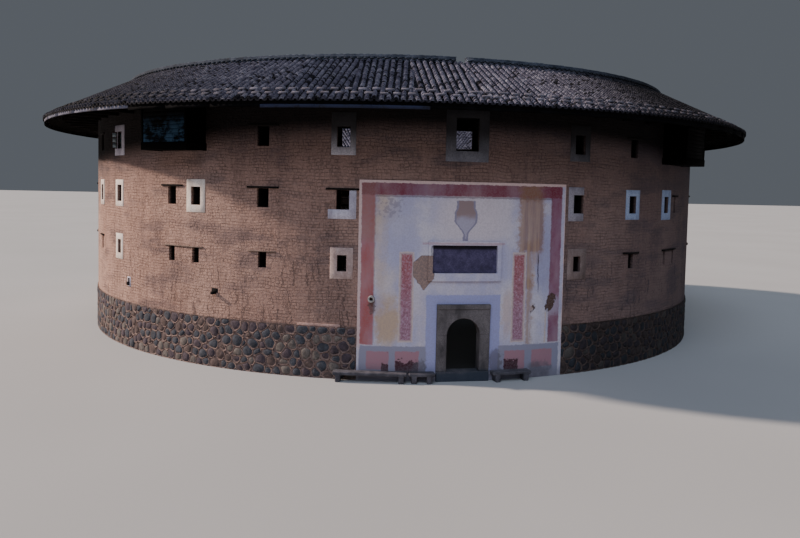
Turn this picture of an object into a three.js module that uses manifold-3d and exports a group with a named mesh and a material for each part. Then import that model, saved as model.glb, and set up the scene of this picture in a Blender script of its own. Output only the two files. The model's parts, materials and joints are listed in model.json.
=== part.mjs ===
// Round earth house of four storeys with one gate, built as a ring around an open courtyard.
// Frame: millimetres, +Z up, origin on the ground at the centre of the ring, gate facing -Y.
// The real house is 43.5 m across its eaves, so this is its model at a scale of 1:2.
// Angles are degrees around +Z, counted from the gate towards +X.

import * as THREE from 'three';
import { mergeVertices } from 'three/addons/utils/BufferGeometryUtils.js';
import Module from 'manifold-3d';

const wasm = await Module();
wasm.setup();

// Scale: model millimetres in one metre of the real house
const M = 500;

// Clearance between pieces that touch
const GAP = 0.3;

// How far a solid that cuts reaches past the faces that it cuts through
const PAST = 1.0 * M;

// Round pieces are made of flat facets
const WALL_FACET = 360 / 128;
const RING_FACET = 360 / 64;
const BAY = 360 / 32;
const ARCH_SIDES = 32;
const PIPE_SIDES = 12;

// Outer earth wall: it leans inwards as it rises
const WALL_RADIUS = 19.0 * M;
const WALL_RADIUS_HEIGHT = 7.5 * M;
const WALL_BATTER = 0.0213;
const WALL_INNER_RADIUS = 17.75 * M;
const PLINTH_HEIGHT = 2.35 * M;
const WALL_HEAD = 13.0 * M;

// Where the stretch of wall around the gate ends and the one at the back starts, in wall facets
const GATE_STRETCH_END = 7;
const BACK_STRETCH_START = 62;

// The stretches between them on each side
const SIDE_STRETCHES = [
  { right: 'wall_front_right', left: 'wall_front_left', from: GATE_STRETCH_END, to: 23 },
  { right: 'wall_right_front', left: 'wall_left_front', from: 23, to: 30 },
  { right: 'wall_right_rear', left: 'wall_left_rear', from: 34, to: 41 },
  { right: 'wall_back_right', left: 'wall_back_left', from: 41, to: BACK_STRETCH_START },
];

// Narrow stretches with a single column of windows, each in two pieces, one on top of the other
const COLUMN_STRETCHES = [
  { name: 'wall_right', from: 30, to: 34 },
  { name: 'wall_left', from: -34, to: -30 },
  { name: 'wall_back', from: BACK_STRETCH_START, to: 66 },
];
const COLUMN_SPLIT = 6.6 * M;

// The two halves of the timber frame and the roof, by the angle where each starts
const HALVES = { right: -BAY / 2, left: 180 - BAY / 2 };

// Storeys: the tops of the three ring floors
const FLOOR_TOPS = { 2: 3.85 * M, 3: 6.55 * M, 4: 9.25 * M };
const FLOOR_THICKNESS = 0.06 * M;
const JOIST = { width: 0.18 * M, height: 0.22 * M };
const BEAM_END_RADIUS = WALL_INNER_RADIUS - 1.5;
const EDGE_BEAM = { width: 0.2 * M, height: 0.3 * M };

// Timber posts along the open edge of the galleries
const POST_RADIUS = 13.35 * M;
const POST_SIDE = 0.22 * M;
const POST_CORNER_ROOM = 3.5;
const TIE_BEAM = { width: 0.2 * M, bottom: 11.75 * M, height: 0.25 * M };
const KING_POST_SIDE = 0.16 * M;
const RIDGE_PURLIN = { width: 0.2 * M, bottom: 13.75 * M };
const PLATE = { width: 0.28 * M, bottom: 12.01 * M };

// How far a post's head goes into the beam on it
const TENON = 0.04 * M;

// Roof: two tiled slopes that meet at a ring-shaped ridge
const EAVE_RADIUS = 21.75 * M;
const EAVE_UNDERSIDE = 11.73 * M;
const ROOF_THICKNESS = 0.2 * M;
const RIDGE_RADIUS = 16.89 * M;
const RIDGE_UNDERSIDE = 14.07 * M;
const INNER_EAVE_RADIUS = 12.0 * M;
const RIDGE_CAP = { halfWidth: 0.2 * M, top: 14.49 * M, bevel: 0.06 * M };
const RIDGE_BREAK = { from: -0.6, to: 1.15 };

// Gate: a dressed stone door frame with a round arch
const GATE_WIDTH = 2.43 * M;
const GATE_HEIGHT = 3.45 * M;
const GATE_FACE = 19.24 * M;
const GATE_DEPTH = 0.55 * M;
const ARCH_RADIUS = 0.75 * M;
const ARCH_SPRING = 2.08 * M;
const THRESHOLD_HEIGHT = 0.44 * M;
const THRESHOLD_PROUD = 0.06 * M;
const LINTEL_HEIGHT = 0.22 * M;
const LINTEL_PROUD = 0.03 * M;

// Lime plaster panel around the gate, with a raised frame around the name tablet
const PANEL = { from: -14.1, to: 14.7, bottom: 0.01 * M, top: 8.81 * M, thickness: 0.06 * M };
const TABLET_FRAME = { from: -4.93, to: 4.94, bottom: 4.48 * M, top: 6.21 * M, relief: 0.1 * M };
const TABLET = { from: -4.33, to: 4.42, bottom: 4.82 * M, top: 6.05 * M, thickness: 0.03 * M };
const GUN_PORT = { angle: -12.25, height: 3.65 * M, radius: 0.15 * M, bore: 0.08 * M, reach: 0.28 * M };

// Stone benches along the foot of the panel
const BENCH = { top: 0.46 * M, slab: 0.15 * M, depth: 0.45 * M, leg: 0.24 * M };
const BENCHES = {
  bench_left_long: { from: -17.1, to: -7.35 },
  bench_left_short: { from: -7.25, to: -3.8 },
  bench_right: { from: 3.8, to: 9.3 },
};

// Window rows: sill, height and width of the plain windows of each storey
const WINDOW_ROWS = {
  2: { sill: 4.8 * M, height: 0.71 * M, width: 0.42 * M },
  3: { sill: 7.5 * M, height: 0.84 * M, width: 0.58 * M },
  4: { sill: 10.2 * M, height: 0.87 * M, width: 0.58 * M },
};
const SLIT_WIDTH = 0.3 * M;

// Window columns on the half of the house towards the gate
const GATE_SIDE_COLUMNS = [
  { angle: -68.3, rows: [2, 3, 4] },
  { angle: -58.4, rows: [2, 3, 4] },
  { angle: -43.4, rows: [2, 3] },
  { angle: -38.6, rows: [2, 3] },
  { angle: -27.5, rows: [2, 3, 4] },
  { angle: -16.3, rows: [2, 3, 4] },
  { angle: 17.1, rows: [2, 3, 4] },
  { angle: 28.4, rows: [2, 3, 4] },
  { angle: 38.9, rows: [2, 3], slits: [2] },
  { angle: 42.8, rows: [2, 3], slits: [2, 3] },
  { angle: 58.4, rows: [2, 3, 4] },
  { angle: 68.3, rows: [2, 3, 4] },
];
const SIDE_COLUMN_ANGLES = [79.5, 90, 100.5];
const GATE_WINDOW = { sill: 10.14 * M, height: 1.42 * M, width: 1.02 * M };

// Lookouts: boarded boxes on the top storey that hang out over the wall
const LOOKOUT_ANGLE = 41.2;
const LOOKOUT = {
  width: 2.9 * M,
  reach: 1.1 * M,
  bottom: 10.0 * M,
  floor: 0.31 * M,
  wall: 0.1 * M,
  uncutHeight: 4.0 * M,
};
const LOOKOUT_DOOR = { width: 1.3 * M, sill: 10.31 * M, height: 1.55 * M };

// Open window casement on the left of the top row: one leaf of a pair
const CASEMENT = {
  width: 0.28 * M,
  height: 0.85 * M,
  stile: 0.04 * M,
  thickness: 0.03 * M,
  open: 118,
  panes: 3,
};
const CASEMENT_COLUMN = -58.4;

// Facets that a piece of wall or roof for fitting reaches to each side, and those of the gate panel
const FIT_FACETS = 5;
const PANEL_FACETS = 8;

// A size well past every piece, for the solids that cut
const FAR = 30 * M;

const MATERIALS = {
  earth: material(0x8f7767, 0.95),
  plaster: material(0xd9d2d6, 0.9),
  cobble: material(0x6f6259, 0.9),
  granite: material(0x77706c, 0.85),
  timber: material(0x5b4636, 0.8),
  tile: material(0x3f3d42, 0.85),
  boards: material(0x556069, 0.85),
  painted: material(0x3f2a26, 0.7),
};

/** A matt material of one colour. */
function material(color, roughness) {
  return new THREE.MeshStandardMaterial({ color, roughness, metalness: 0 });
}

/** Radius of the wall's outer face at a height. */
function wallRadius(height) {
  return WALL_RADIUS + WALL_BATTER * (WALL_RADIUS_HEIGHT - height);
}

/** Height of the roof's underside at a radius, the same on both slopes. */
function roofUnderside(radius) {
  const slope = (RIDGE_UNDERSIDE - EAVE_UNDERSIDE) / (EAVE_RADIUS - RIDGE_RADIUS);
  return RIDGE_UNDERSIDE - slope * Math.abs(radius - RIDGE_RADIUS);
}

/** Height that just clears the outer slope at a radius, even in a facet's middle, where it is lowest. */
function underOuterSlope(radius) {
  const halfFacet = THREE.MathUtils.degToRad(RING_FACET / 2);
  return roofUnderside(radius / Math.cos(halfFacet)) - GAP;
}

/** A closed geometry as a solid that can be joined and cut. */
function solid(geometry) {
  geometry.deleteAttribute('normal');
  geometry.deleteAttribute('uv');
  const merged = mergeVertices(geometry);
  return new wasm.Manifold(new wasm.Mesh({
    numProp: 3,
    vertProperties: new Float32Array(merged.attributes.position.array),
    triVerts: new Uint32Array(merged.index.array),
  }));
}

/** A joined or cut solid as a geometry again. */
function geometryOf(body) {
  const mesh = body.getMesh();
  const geometry = new THREE.BufferGeometry();
  geometry.setAttribute('position', new THREE.BufferAttribute(mesh.vertProperties, 3));
  geometry.setIndex(new THREE.BufferAttribute(mesh.triVerts, 1));
  geometry.computeVertexNormals();
  return geometry;
}

/** A stretch of ring between two angles, from its counter-clockwise section of [radius, height]. */
function ring(section, from, to, facet) {
  const outline = section.map(([radius, height]) => new THREE.Vector2(radius, height));
  const facets = Math.round((to - from) / facet);
  const start = THREE.MathUtils.degToRad(from);
  const sweep = THREE.MathUtils.degToRad(to - from);
  const skin = new THREE.LatheGeometry([...outline, outline[0]], facets, start, sweep);
  const last = facets * (outline.length + 1);
  const faces = [...skin.index.array];
  for (const [a, b, c] of THREE.ShapeUtils.triangulateShape(outline, [])) {
    faces.push(a, b, c);
    faces.push(last + a, last + c, last + b);
  }
  skin.setIndex(faces);
  skin.rotateX(Math.PI / 2);
  return solid(skin);
}

/** A stretch of ring that stops half a gap short at each end, so that it clears its neighbours. */
function ringPart(section, from, to, facet) {
  const outermost = Math.max(...section.map(([radius]) => radius));
  const trim = THREE.MathUtils.radToDeg(GAP / 2 / outermost);
  return ring(section, from + trim, to - trim, facet);
}

/** A box by its sizes, its middle at (x, y), its foot at z, then turned around the house. */
function box(width, depth, height, x, y, z, angle = 0) {
  const geometry = new THREE.BoxGeometry(width, depth, height);
  geometry.translate(x, y, z + height / 2);
  geometry.rotateZ(THREE.MathUtils.degToRad(angle));
  return solid(geometry);
}

/** A box laid along a radius, between two radii. */
function radialBox(angle, from, to, width, bottom, height) {
  return box(width, to - from, height, 0, -(from + to) / 2, bottom, angle);
}

/** A round rod laid along a radius, between two radii, its middle at a height. */
function radialRod(radius, angle, height, from, to, sides) {
  const geometry = new THREE.CylinderGeometry(radius, radius, to - from, sides);
  geometry.translate(0, -(from + to) / 2, height);
  geometry.rotateZ(THREE.MathUtils.degToRad(angle));
  return solid(geometry);
}

/** Everything between two angles, under 180 degrees apart, and two heights. */
function wedge(from, to, bottom, top) {
  const corner = (angle) => {
    const turn = THREE.MathUtils.degToRad(angle);
    return new THREE.Vector2(FAR * Math.sin(turn), -FAR * Math.cos(turn));
  };
  const plan = new THREE.Shape([new THREE.Vector2(0, 0), corner(from), corner(to)]);
  const geometry = new THREE.ExtrudeGeometry(plan, { depth: top - bottom, bevelEnabled: false });
  geometry.translate(0, 0, bottom);
  return solid(geometry);
}

/** All the solids of a list joined into one. */
function join(bodies) {
  return bodies.reduce((whole, body) => whole.add(body));
}

/** All the solids of a list cut out of a body. */
function cut(body, cutters) {
  return cutters.reduce((rest, cutter) => rest.subtract(cutter), body);
}

/** The angles of every bay line from one angle to another. */
function bayLines(from, to) {
  const lines = [];
  for (let line = Math.ceil(from / BAY); line * BAY <= to; line += 1) {
    lines.push(line * BAY);
  }
  return lines;
}

const house = new THREE.Group();

/** Adds one named piece to the house. */
function addPiece(name, body, look) {
  const mesh = new THREE.Mesh(geometryOf(body), look);
  mesh.name = name;
  house.add(mesh);
}

/** An angle brought between -180 and 180 degrees. */
function wrapped(angle) {
  return angle > 180 ? angle - 360 : angle;
}

/** Every window of the house: the gate side as listed, the far side its mirror image. */
function windowList() {
  const farSide = GATE_SIDE_COLUMNS.map((column) => ({ ...column, angle: wrapped(180 - column.angle) }));
  const sides = SIDE_COLUMN_ANGLES.flatMap((angle) => [
    { angle, rows: [2, 3, 4] },
    { angle: -angle, rows: [2, 3, 4] },
  ]);
  const columns = [...GATE_SIDE_COLUMNS, ...farSide, ...sides, { angle: 180, rows: [2, 3, 4] }];
  const windows = columns.flatMap(({ angle, rows, slits = [] }) => rows.map((row) => {
    const { sill, height, width } = WINDOW_ROWS[row];
    return { angle, sill, height, width: slits.includes(row) ? SLIT_WIDTH : width };
  }));
  return [...windows, { angle: 0, ...GATE_WINDOW }];
}

/** Every lookout's angle: two towards the gate, two on the far side. */
function lookoutAngles() {
  return [-LOOKOUT_ANGLE, LOOKOUT_ANGLE, 180 - LOOKOUT_ANGLE, LOOKOUT_ANGLE - 180];
}

/** A hole through the wall. */
function wallHole({ angle, sill, height, width }) {
  return radialBox(angle, WALL_INNER_RADIUS - PAST, WALL_RADIUS + PAST, width, sill, height);
}

/** Earth wall between two of its facets, with its windows and lookout doors cut through. */
function earthWall(fromFacet, toFacet) {
  const [from, to] = [fromFacet * WALL_FACET, toFacet * WALL_FACET];
  const foot = PLINTH_HEIGHT + GAP;
  const outerTop = underOuterSlope(wallRadius(WALL_HEAD));
  const section = [
    [WALL_INNER_RADIUS, foot],
    [wallRadius(foot), foot],
    [wallRadius(outerTop), outerTop],
    [WALL_INNER_RADIUS, underOuterSlope(WALL_INNER_RADIUS)],
  ];
  const doors = lookoutAngles().map((angle) => ({ angle, ...LOOKOUT_DOOR }));
  const holes = [...windowList(), ...doors].filter(({ angle }) => (
    (angle > from && angle < to) || (angle + 360 > from && angle + 360 < to)
  ));
  return cut(ringPart(section, from, to, WALL_FACET), holes.map(wallHole));
}

/** The wall around an angle as a plain body, grown outwards by a clearance, to fit pieces against. */
function wallBody(angle, clearance) {
  const middle = Math.round(angle / WALL_FACET);
  const section = [
    [WALL_INNER_RADIUS, -PAST],
    [wallRadius(-PAST) + clearance, -PAST],
    [wallRadius(FAR) + clearance, FAR],
    [WALL_INNER_RADIUS, FAR],
  ];
  const [from, to] = [middle - FIT_FACETS, middle + FIT_FACETS];
  return ring(section, from * WALL_FACET, to * WALL_FACET, WALL_FACET);
}

/** The outer roof slope around an angle and all above it, to fit pieces under. */
function roofBody(angle) {
  const middle = Math.round(angle / RING_FACET);
  const section = [
    [RIDGE_RADIUS, roofUnderside(RIDGE_RADIUS) - GAP],
    [FAR, roofUnderside(FAR) - GAP],
    [FAR, FAR],
    [RIDGE_RADIUS, FAR],
  ];
  const [from, to] = [middle - FIT_FACETS, middle + FIT_FACETS];
  return ring(section, from * RING_FACET, to * RING_FACET, RING_FACET);
}

/** Everything left (-1) or right (1) of the gate opening. */
function besideGate(side) {
  const middle = side * (GATE_WIDTH / 2 + GAP + FAR / 2);
  return box(FAR, 2 * FAR, 2 * FAR, middle, 0, -FAR);
}

function addPlinth() {
  const section = [
    [WALL_INNER_RADIUS, 0],
    [wallRadius(0), 0],
    [wallRadius(PLINTH_HEIGHT), PLINTH_HEIGHT],
    [WALL_INNER_RADIUS, PLINTH_HEIGHT],
  ];
  const quarter = (from) => ringPart(section, from, from + 90, WALL_FACET);
  addPiece('plinth_front_left', quarter(-90).intersect(besideGate(-1)), MATERIALS.cobble);
  addPiece('plinth_front_right', quarter(0).intersect(besideGate(1)), MATERIALS.cobble);
  addPiece('plinth_back_right', quarter(90), MATERIALS.cobble);
  addPiece('plinth_back_left', quarter(180), MATERIALS.cobble);
}

function addEarthWalls() {
  const front = earthWall(-GATE_STRETCH_END, GATE_STRETCH_END);
  const overGate = box(GATE_WIDTH, 2 * FAR, FAR, 0, 0, GATE_HEIGHT);
  addPiece('wall_gate_left', front.intersect(besideGate(-1)), MATERIALS.earth);
  addPiece('wall_gate_right', front.intersect(besideGate(1)), MATERIALS.earth);
  addPiece('wall_over_gate', front.intersect(overGate), MATERIALS.earth);
  for (const { right, left, from, to } of SIDE_STRETCHES) {
    addPiece(right, earthWall(from, to), MATERIALS.earth);
    addPiece(left, earthWall(-to, -from), MATERIALS.earth);
  }
  const below = box(2 * FAR, 2 * FAR, FAR, 0, 0, COLUMN_SPLIT - GAP - FAR);
  const above = box(2 * FAR, 2 * FAR, FAR, 0, 0, COLUMN_SPLIT);
  for (const { name, from, to } of COLUMN_STRETCHES) {
    const stretch = earthWall(from, to);
    addPiece(`${name}_lower`, stretch.intersect(below), MATERIALS.earth);
    addPiece(`${name}_upper`, stretch.intersect(above), MATERIALS.earth);
  }
}

/** A stone of the door frame between two sides and two heights. */
function gateStone(left, right, bottom, top, proud = 0) {
  const depth = GATE_DEPTH + proud;
  const middle = -(GATE_FACE + proud) + depth / 2;
  return box(right - left, depth, top - bottom - GAP, (left + right) / 2, middle, bottom);
}

function addGateStones() {
  const half = GATE_WIDTH / 2 - GAP;
  const lintelBottom = GATE_HEIGHT - LINTEL_HEIGHT;
  const arch = radialRod(ARCH_RADIUS, 0, ARCH_SPRING, GATE_FACE - PAST, GATE_FACE + PAST, ARCH_SIDES);
  const threshold = gateStone(-half, half, 0, THRESHOLD_HEIGHT, THRESHOLD_PROUD);
  const head = gateStone(-half, half, ARCH_SPRING, lintelBottom).subtract(arch);
  const leftJamb = gateStone(-half, -ARCH_RADIUS, THRESHOLD_HEIGHT, ARCH_SPRING);
  const rightJamb = gateStone(ARCH_RADIUS, half, THRESHOLD_HEIGHT, ARCH_SPRING);
  const lintel = gateStone(-half, half, lintelBottom, GATE_HEIGHT, LINTEL_PROUD);
  addPiece('gate_threshold', threshold, MATERIALS.granite);
  addPiece('gate_jamb_left', leftJamb, MATERIALS.granite);
  addPiece('gate_jamb_right', rightJamb, MATERIALS.granite);
  addPiece('gate_arch', head, MATERIALS.granite);
  addPiece('gate_lintel', lintel, MATERIALS.granite);
}

/** A skin on the wall's face between two heights, from one distance off the wall to another. */
function wallSkin(bottom, top, inner, outer) {
  const section = [
    [wallRadius(bottom) + inner, bottom],
    [wallRadius(bottom) + outer, bottom],
    [wallRadius(top) + outer, top],
    [wallRadius(top) + inner, top],
  ];
  return ring(section, -PANEL_FACETS * WALL_FACET, PANEL_FACETS * WALL_FACET, WALL_FACET);
}

/** A rod in line with the gun port, from inside the wall out to a radius. */
function pipeRod(radius, to) {
  return radialRod(radius, GUN_PORT.angle, GUN_PORT.height, WALL_INNER_RADIUS, to, PIPE_SIDES);
}

function addGatePanel() {
  const frameOuter = PANEL.thickness + TABLET_FRAME.relief;
  const sheet = wallSkin(PANEL.bottom, PANEL.top, GAP, PANEL.thickness)
    .intersect(wedge(PANEL.from, PANEL.to, 0, FAR));
  const frame = wallSkin(TABLET_FRAME.bottom, TABLET_FRAME.top, PANEL.thickness / 2, frameOuter)
    .intersect(wedge(TABLET_FRAME.from, TABLET_FRAME.to, 0, FAR));
  const doorway = box(GATE_WIDTH, 2 * PAST, GATE_HEIGHT + GAP, 0, -GATE_FACE, 0);
  const tabletHole = wedge(TABLET.from, TABLET.to, TABLET.bottom, TABLET.top);
  const portHole = pipeRod(GUN_PORT.radius + GAP, FAR);
  addPiece('plaster_panel', cut(sheet.add(frame), [doorway, tabletHole, portHole]), MATERIALS.plaster);

  const play = THREE.MathUtils.radToDeg(GAP / WALL_RADIUS);
  const tablet = wallSkin(TABLET.bottom + GAP, TABLET.top - GAP, GAP, TABLET.thickness)
    .intersect(wedge(TABLET.from + play, TABLET.to - play, 0, FAR));
  addPiece('name_tablet', tablet, MATERIALS.plaster);

  const pipe = pipeRod(GUN_PORT.radius, wallRadius(GUN_PORT.height) + GUN_PORT.reach);
  const bored = cut(pipe, [pipeRod(GUN_PORT.bore, FAR), wallBody(GUN_PORT.angle, GAP)]);
  addPiece('gun_port_pipe', bored, MATERIALS.granite);
}

function addBenches() {
  const back = wallRadius(0) + PANEL.thickness;
  const front = back + BENCH.depth;
  for (const [name, { from, to }] of Object.entries(BENCHES)) {
    const angle = (from + to) / 2;
    const length = 2 * back * Math.sin(THREE.MathUtils.degToRad(to - from) / 2);
    const legOffset = length / 2 - BENCH.leg;
    const under = BENCH.top - BENCH.slab;
    const leg = (x) => box(BENCH.leg, BENCH.depth, under + GAP, x, -(front + back) / 2, 0, angle);
    const slab = radialBox(angle, back - BENCH.depth, front, length, under, BENCH.slab);
    const whole = join([slab, leg(-legOffset), leg(legOffset)]);
    addPiece(name, whole.subtract(wallBody(angle, PANEL.thickness + GAP)), MATERIALS.granite);
  }
}

/** Whether the post at a bay line starts on the second storey, to leave the gate hall free. */
function isOverGateHall(line) {
  return line === 0;
}

/** One ring floor: boards on joists, with an edge beam behind the posts. */
function ringFloor(storey) {
  const top = FLOOR_TOPS[storey];
  const inner = POST_RADIUS + POST_SIDE / 2 + POST_CORNER_ROOM;
  const outer = WALL_INNER_RADIUS - GAP;
  const under = top - FLOOR_THICKNESS;
  const beamFoot = top - EDGE_BEAM.height;
  const section = [
    [inner, beamFoot],
    [inner + EDGE_BEAM.width, beamFoot],
    [inner + EDGE_BEAM.width, under],
    [outer, under],
    [outer, top],
    [inner, top],
  ];
  const joistFrom = inner + EDGE_BEAM.width / 2;
  const joistFoot = under - JOIST.height;
  const joists = bayLines(HALVES.right, HALVES.right + 360).map((line) => (
    radialBox(line, joistFrom, BEAM_END_RADIUS, JOIST.width, joistFoot, JOIST.height + GAP)
  ));
  return join([ringPart(section, HALVES.right, HALVES.right + 360, RING_FACET), ...joists]);
}

function addFloors() {
  for (const storey of Object.keys(FLOOR_TOPS)) {
    addPiece(`floor_${storey}`, ringFloor(storey), MATERIALS.timber);
  }
}

/** Half of the gallery posts, joined at their heads by the plate that carries the roof. */
function galleryPosts(from) {
  const inner = POST_RADIUS - POST_SIDE / 2;
  const outer = POST_RADIUS + POST_SIDE / 2;
  const plateInner = POST_RADIUS - PLATE.width / 2;
  const plateOuter = POST_RADIUS + PLATE.width / 2;
  const plate = [
    [plateInner, PLATE.bottom],
    [plateOuter, PLATE.bottom],
    [plateOuter, roofUnderside(plateOuter) - GAP],
    [plateInner, roofUnderside(plateInner) - GAP],
  ];
  const posts = bayLines(from, from + 180).map((line) => {
    const foot = isOverGateHall(line) ? FLOOR_TOPS[2] + GAP : 0;
    return radialBox(line, inner, outer, POST_SIDE, foot, PLATE.bottom + TENON - foot);
  });
  return join([ringPart(plate, from, from + 180, RING_FACET), ...posts]);
}

/** Half of the roof frame: tie beams, king posts on them, and the ridge purlin. */
function roofFrame(from) {
  const tieEnd = POST_RADIUS + POST_SIDE / 2 + GAP;
  const tieTop = TIE_BEAM.bottom + TIE_BEAM.height;
  const half = RIDGE_PURLIN.width / 2;
  const inner = RIDGE_RADIUS - half;
  const outer = RIDGE_RADIUS + half;
  const purlin = [
    [inner, RIDGE_PURLIN.bottom],
    [outer, RIDGE_PURLIN.bottom],
    [outer, roofUnderside(outer) - GAP],
    [RIDGE_RADIUS, RIDGE_UNDERSIDE - GAP],
    [inner, roofUnderside(inner) - GAP],
  ];
  const kingFrom = RIDGE_RADIUS - KING_POST_SIDE / 2;
  const kingTo = RIDGE_RADIUS + KING_POST_SIDE / 2;
  const kingHeight = RIDGE_PURLIN.bottom - tieTop + 2 * TENON;
  const frames = bayLines(from, from + 180).flatMap((line) => [
    radialBox(line, tieEnd, BEAM_END_RADIUS, TIE_BEAM.width, TIE_BEAM.bottom, TIE_BEAM.height),
    radialBox(line, kingFrom, kingTo, KING_POST_SIDE, tieTop - TENON, kingHeight),
  ]);
  return join([ringPart(purlin, from, from + 180, RING_FACET), ...frames]);
}

/** Half of one roof slope between its ridge edge and its eave. */
function roofSlope(innerRadius, outerRadius, from) {
  const section = [
    [innerRadius, roofUnderside(innerRadius)],
    [outerRadius, roofUnderside(outerRadius)],
    [outerRadius, roofUnderside(outerRadius) + ROOF_THICKNESS],
    [innerRadius, roofUnderside(innerRadius) + ROOF_THICKNESS],
  ];
  return ringPart(section, from, from + 180, RING_FACET);
}

function addTimberAndRoof() {
  for (const [side, from] of Object.entries(HALVES)) {
    const outerSlope = roofSlope(RIDGE_RADIUS + GAP / 2, EAVE_RADIUS, from);
    const innerSlope = roofSlope(INNER_EAVE_RADIUS, RIDGE_RADIUS - GAP / 2, from);
    addPiece(`gallery_posts_${side}`, galleryPosts(from), MATERIALS.timber);
    addPiece(`roof_frame_${side}`, roofFrame(from), MATERIALS.timber);
    addPiece(`roof_outer_${side}`, outerSlope, MATERIALS.tile);
    addPiece(`roof_inner_${side}`, innerSlope, MATERIALS.tile);
  }
}

/** The ridge: one ring of tiles that is broken away over the gate. */
function addRidge() {
  const { halfWidth, top, bevel } = RIDGE_CAP;
  const inner = RIDGE_RADIUS - halfWidth;
  const outer = RIDGE_RADIUS + halfWidth;
  const tiles = ROOF_THICKNESS + GAP;
  const section = [
    [inner, roofUnderside(inner) + tiles],
    [RIDGE_RADIUS, RIDGE_UNDERSIDE + tiles],
    [outer, roofUnderside(outer) + tiles],
    [outer - bevel, top],
    [inner + bevel, top],
  ];
  const missing = wedge(RIDGE_BREAK.from, RIDGE_BREAK.to, 0, FAR);
  addPiece('ridge', ringPart(section, 0, 360, RING_FACET).subtract(missing), MATERIALS.tile);
}

/** A lookout: floor and three walls of boards, open to the storey behind and closed above by the roof. */
function lookout(angle) {
  const { width, reach, bottom, floor, wall, uncutHeight } = LOOKOUT;
  const front = wallRadius(bottom) + reach;
  const back = WALL_INNER_RADIUS;
  const shell = radialBox(angle, back, front, width, bottom, uncutHeight);
  const room = radialBox(angle, back - PAST, front - wall, width - 2 * wall, bottom + floor, FAR);
  return cut(shell, [room, wallBody(angle, GAP), roofBody(angle)]);
}

function addLookouts() {
  const names = ['front_left', 'front_right', 'back_right', 'back_left'];
  lookoutAngles().forEach((angle, index) => {
    addPiece(`lookout_${names[index]}`, lookout(angle), MATERIALS.boards);
  });
}

/** A box in the casement's leaf, by its middle's distance from the hinge and its foot above the sill. */
function leafBox(width, depth, height, middle, foot) {
  const { sill, width: windowWidth } = WINDOW_ROWS[4];
  const geometry = new THREE.BoxGeometry(width, depth, height);
  geometry.translate(middle, 0, foot + height / 2);
  geometry.rotateZ(THREE.MathUtils.degToRad(-CASEMENT.open));
  geometry.translate(-(windowWidth + CASEMENT.stile) / 2, -wallRadius(sill), sill);
  geometry.rotateZ(THREE.MathUtils.degToRad(CASEMENT_COLUMN));
  return solid(geometry);
}

/** The open casement: a glazing frame hinged on the left of its window and swung outwards. */
function addCasement() {
  const { width, height, stile, thickness, panes } = CASEMENT;
  const paneHeight = (height - stile) / panes - stile;
  const holes = [];
  for (let pane = 0; pane < panes; pane += 1) {
    const foot = stile + pane * (paneHeight + stile);
    holes.push(leafBox(width - 2 * stile, 3 * thickness, paneHeight, width / 2, foot));
  }
  const leaf = cut(leafBox(width, thickness, height, width / 2, 0), holes);
  addPiece('open_casement', leaf.subtract(wallBody(CASEMENT_COLUMN, GAP)), MATERIALS.painted);
}

addPlinth();
addEarthWalls();
addGateStones();
addGatePanel();
addBenches();
addFloors();
addTimberAndRoof();
addRidge();
addLookouts();
addCasement();

export default house;
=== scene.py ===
"""Looks of a round earth house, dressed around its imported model.

Sizes are metres of the real house, which the model shows at half size. Angles are degrees around
+Z, counted from the gate, which faces -Y, towards +X.
"""

import json
import logging
import math
from collections.abc import Callable, Iterable, Sequence
from dataclasses import dataclass, replace
from enum import Enum
from functools import partial

import bmesh
import bpy
import numpy as np
from mathutils import Matrix, Vector

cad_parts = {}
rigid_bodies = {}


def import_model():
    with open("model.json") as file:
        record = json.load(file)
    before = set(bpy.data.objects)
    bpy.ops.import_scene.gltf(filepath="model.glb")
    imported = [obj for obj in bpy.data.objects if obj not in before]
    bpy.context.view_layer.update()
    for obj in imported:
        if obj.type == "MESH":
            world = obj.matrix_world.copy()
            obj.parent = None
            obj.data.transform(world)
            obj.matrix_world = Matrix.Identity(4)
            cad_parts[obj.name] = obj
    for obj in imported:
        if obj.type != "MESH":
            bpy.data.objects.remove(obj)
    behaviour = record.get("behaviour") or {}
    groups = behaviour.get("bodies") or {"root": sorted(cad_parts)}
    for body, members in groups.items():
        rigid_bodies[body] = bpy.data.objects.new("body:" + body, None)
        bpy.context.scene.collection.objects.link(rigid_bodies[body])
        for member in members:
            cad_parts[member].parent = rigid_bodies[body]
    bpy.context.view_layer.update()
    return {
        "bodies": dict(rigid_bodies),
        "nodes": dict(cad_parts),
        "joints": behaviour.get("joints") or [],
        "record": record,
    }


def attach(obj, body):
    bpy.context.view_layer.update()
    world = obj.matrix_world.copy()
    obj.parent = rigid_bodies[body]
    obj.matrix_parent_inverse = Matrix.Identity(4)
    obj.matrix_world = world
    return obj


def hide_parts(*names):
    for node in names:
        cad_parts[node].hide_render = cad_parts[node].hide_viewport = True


LOG = logging.getLogger("roundhouse")

# Model metres in one metre of the real house
SCALE = 0.5

# The one body of a part without joints
BODY = "root"

# Near-black painted shade, laid where little light falls
PAINTED_SHADE = "0b0a0b"

Color = tuple[float, float, float, float]
Material = bpy.types.Material
Socket = bpy.types.NodeSocket
Value = float | Socket
Measure = np.ndarray | float
Span = tuple[float, float]
Triple = tuple[float, float, float]


def paint(code: str) -> Color:
    """Turns a colour code into linear light.

    Args:
        code: Six hexadecimal digits, red, green and blue.

    Returns:
        The colour as Blender's sockets take it.
    """
    parts = [int(code[at:at + 2], 16) / 255 for at in (0, 2, 4)]
    red, green, blue = (((part + 0.055) / 1.055) ** 2.4 if part > 0.04045 else part / 12.92 for part in parts)
    return (red, green, blue, 1.0)


def around(angle: Measure, radius: Measure, height: Measure) -> np.ndarray:
    """Gives points on circles around the middle of the house, with x, y and z as the last axis."""
    turn = np.radians(angle)
    return np.stack(np.broadcast_arrays(radius * np.sin(turn), -radius * np.cos(turn), height), axis=-1)


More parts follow.
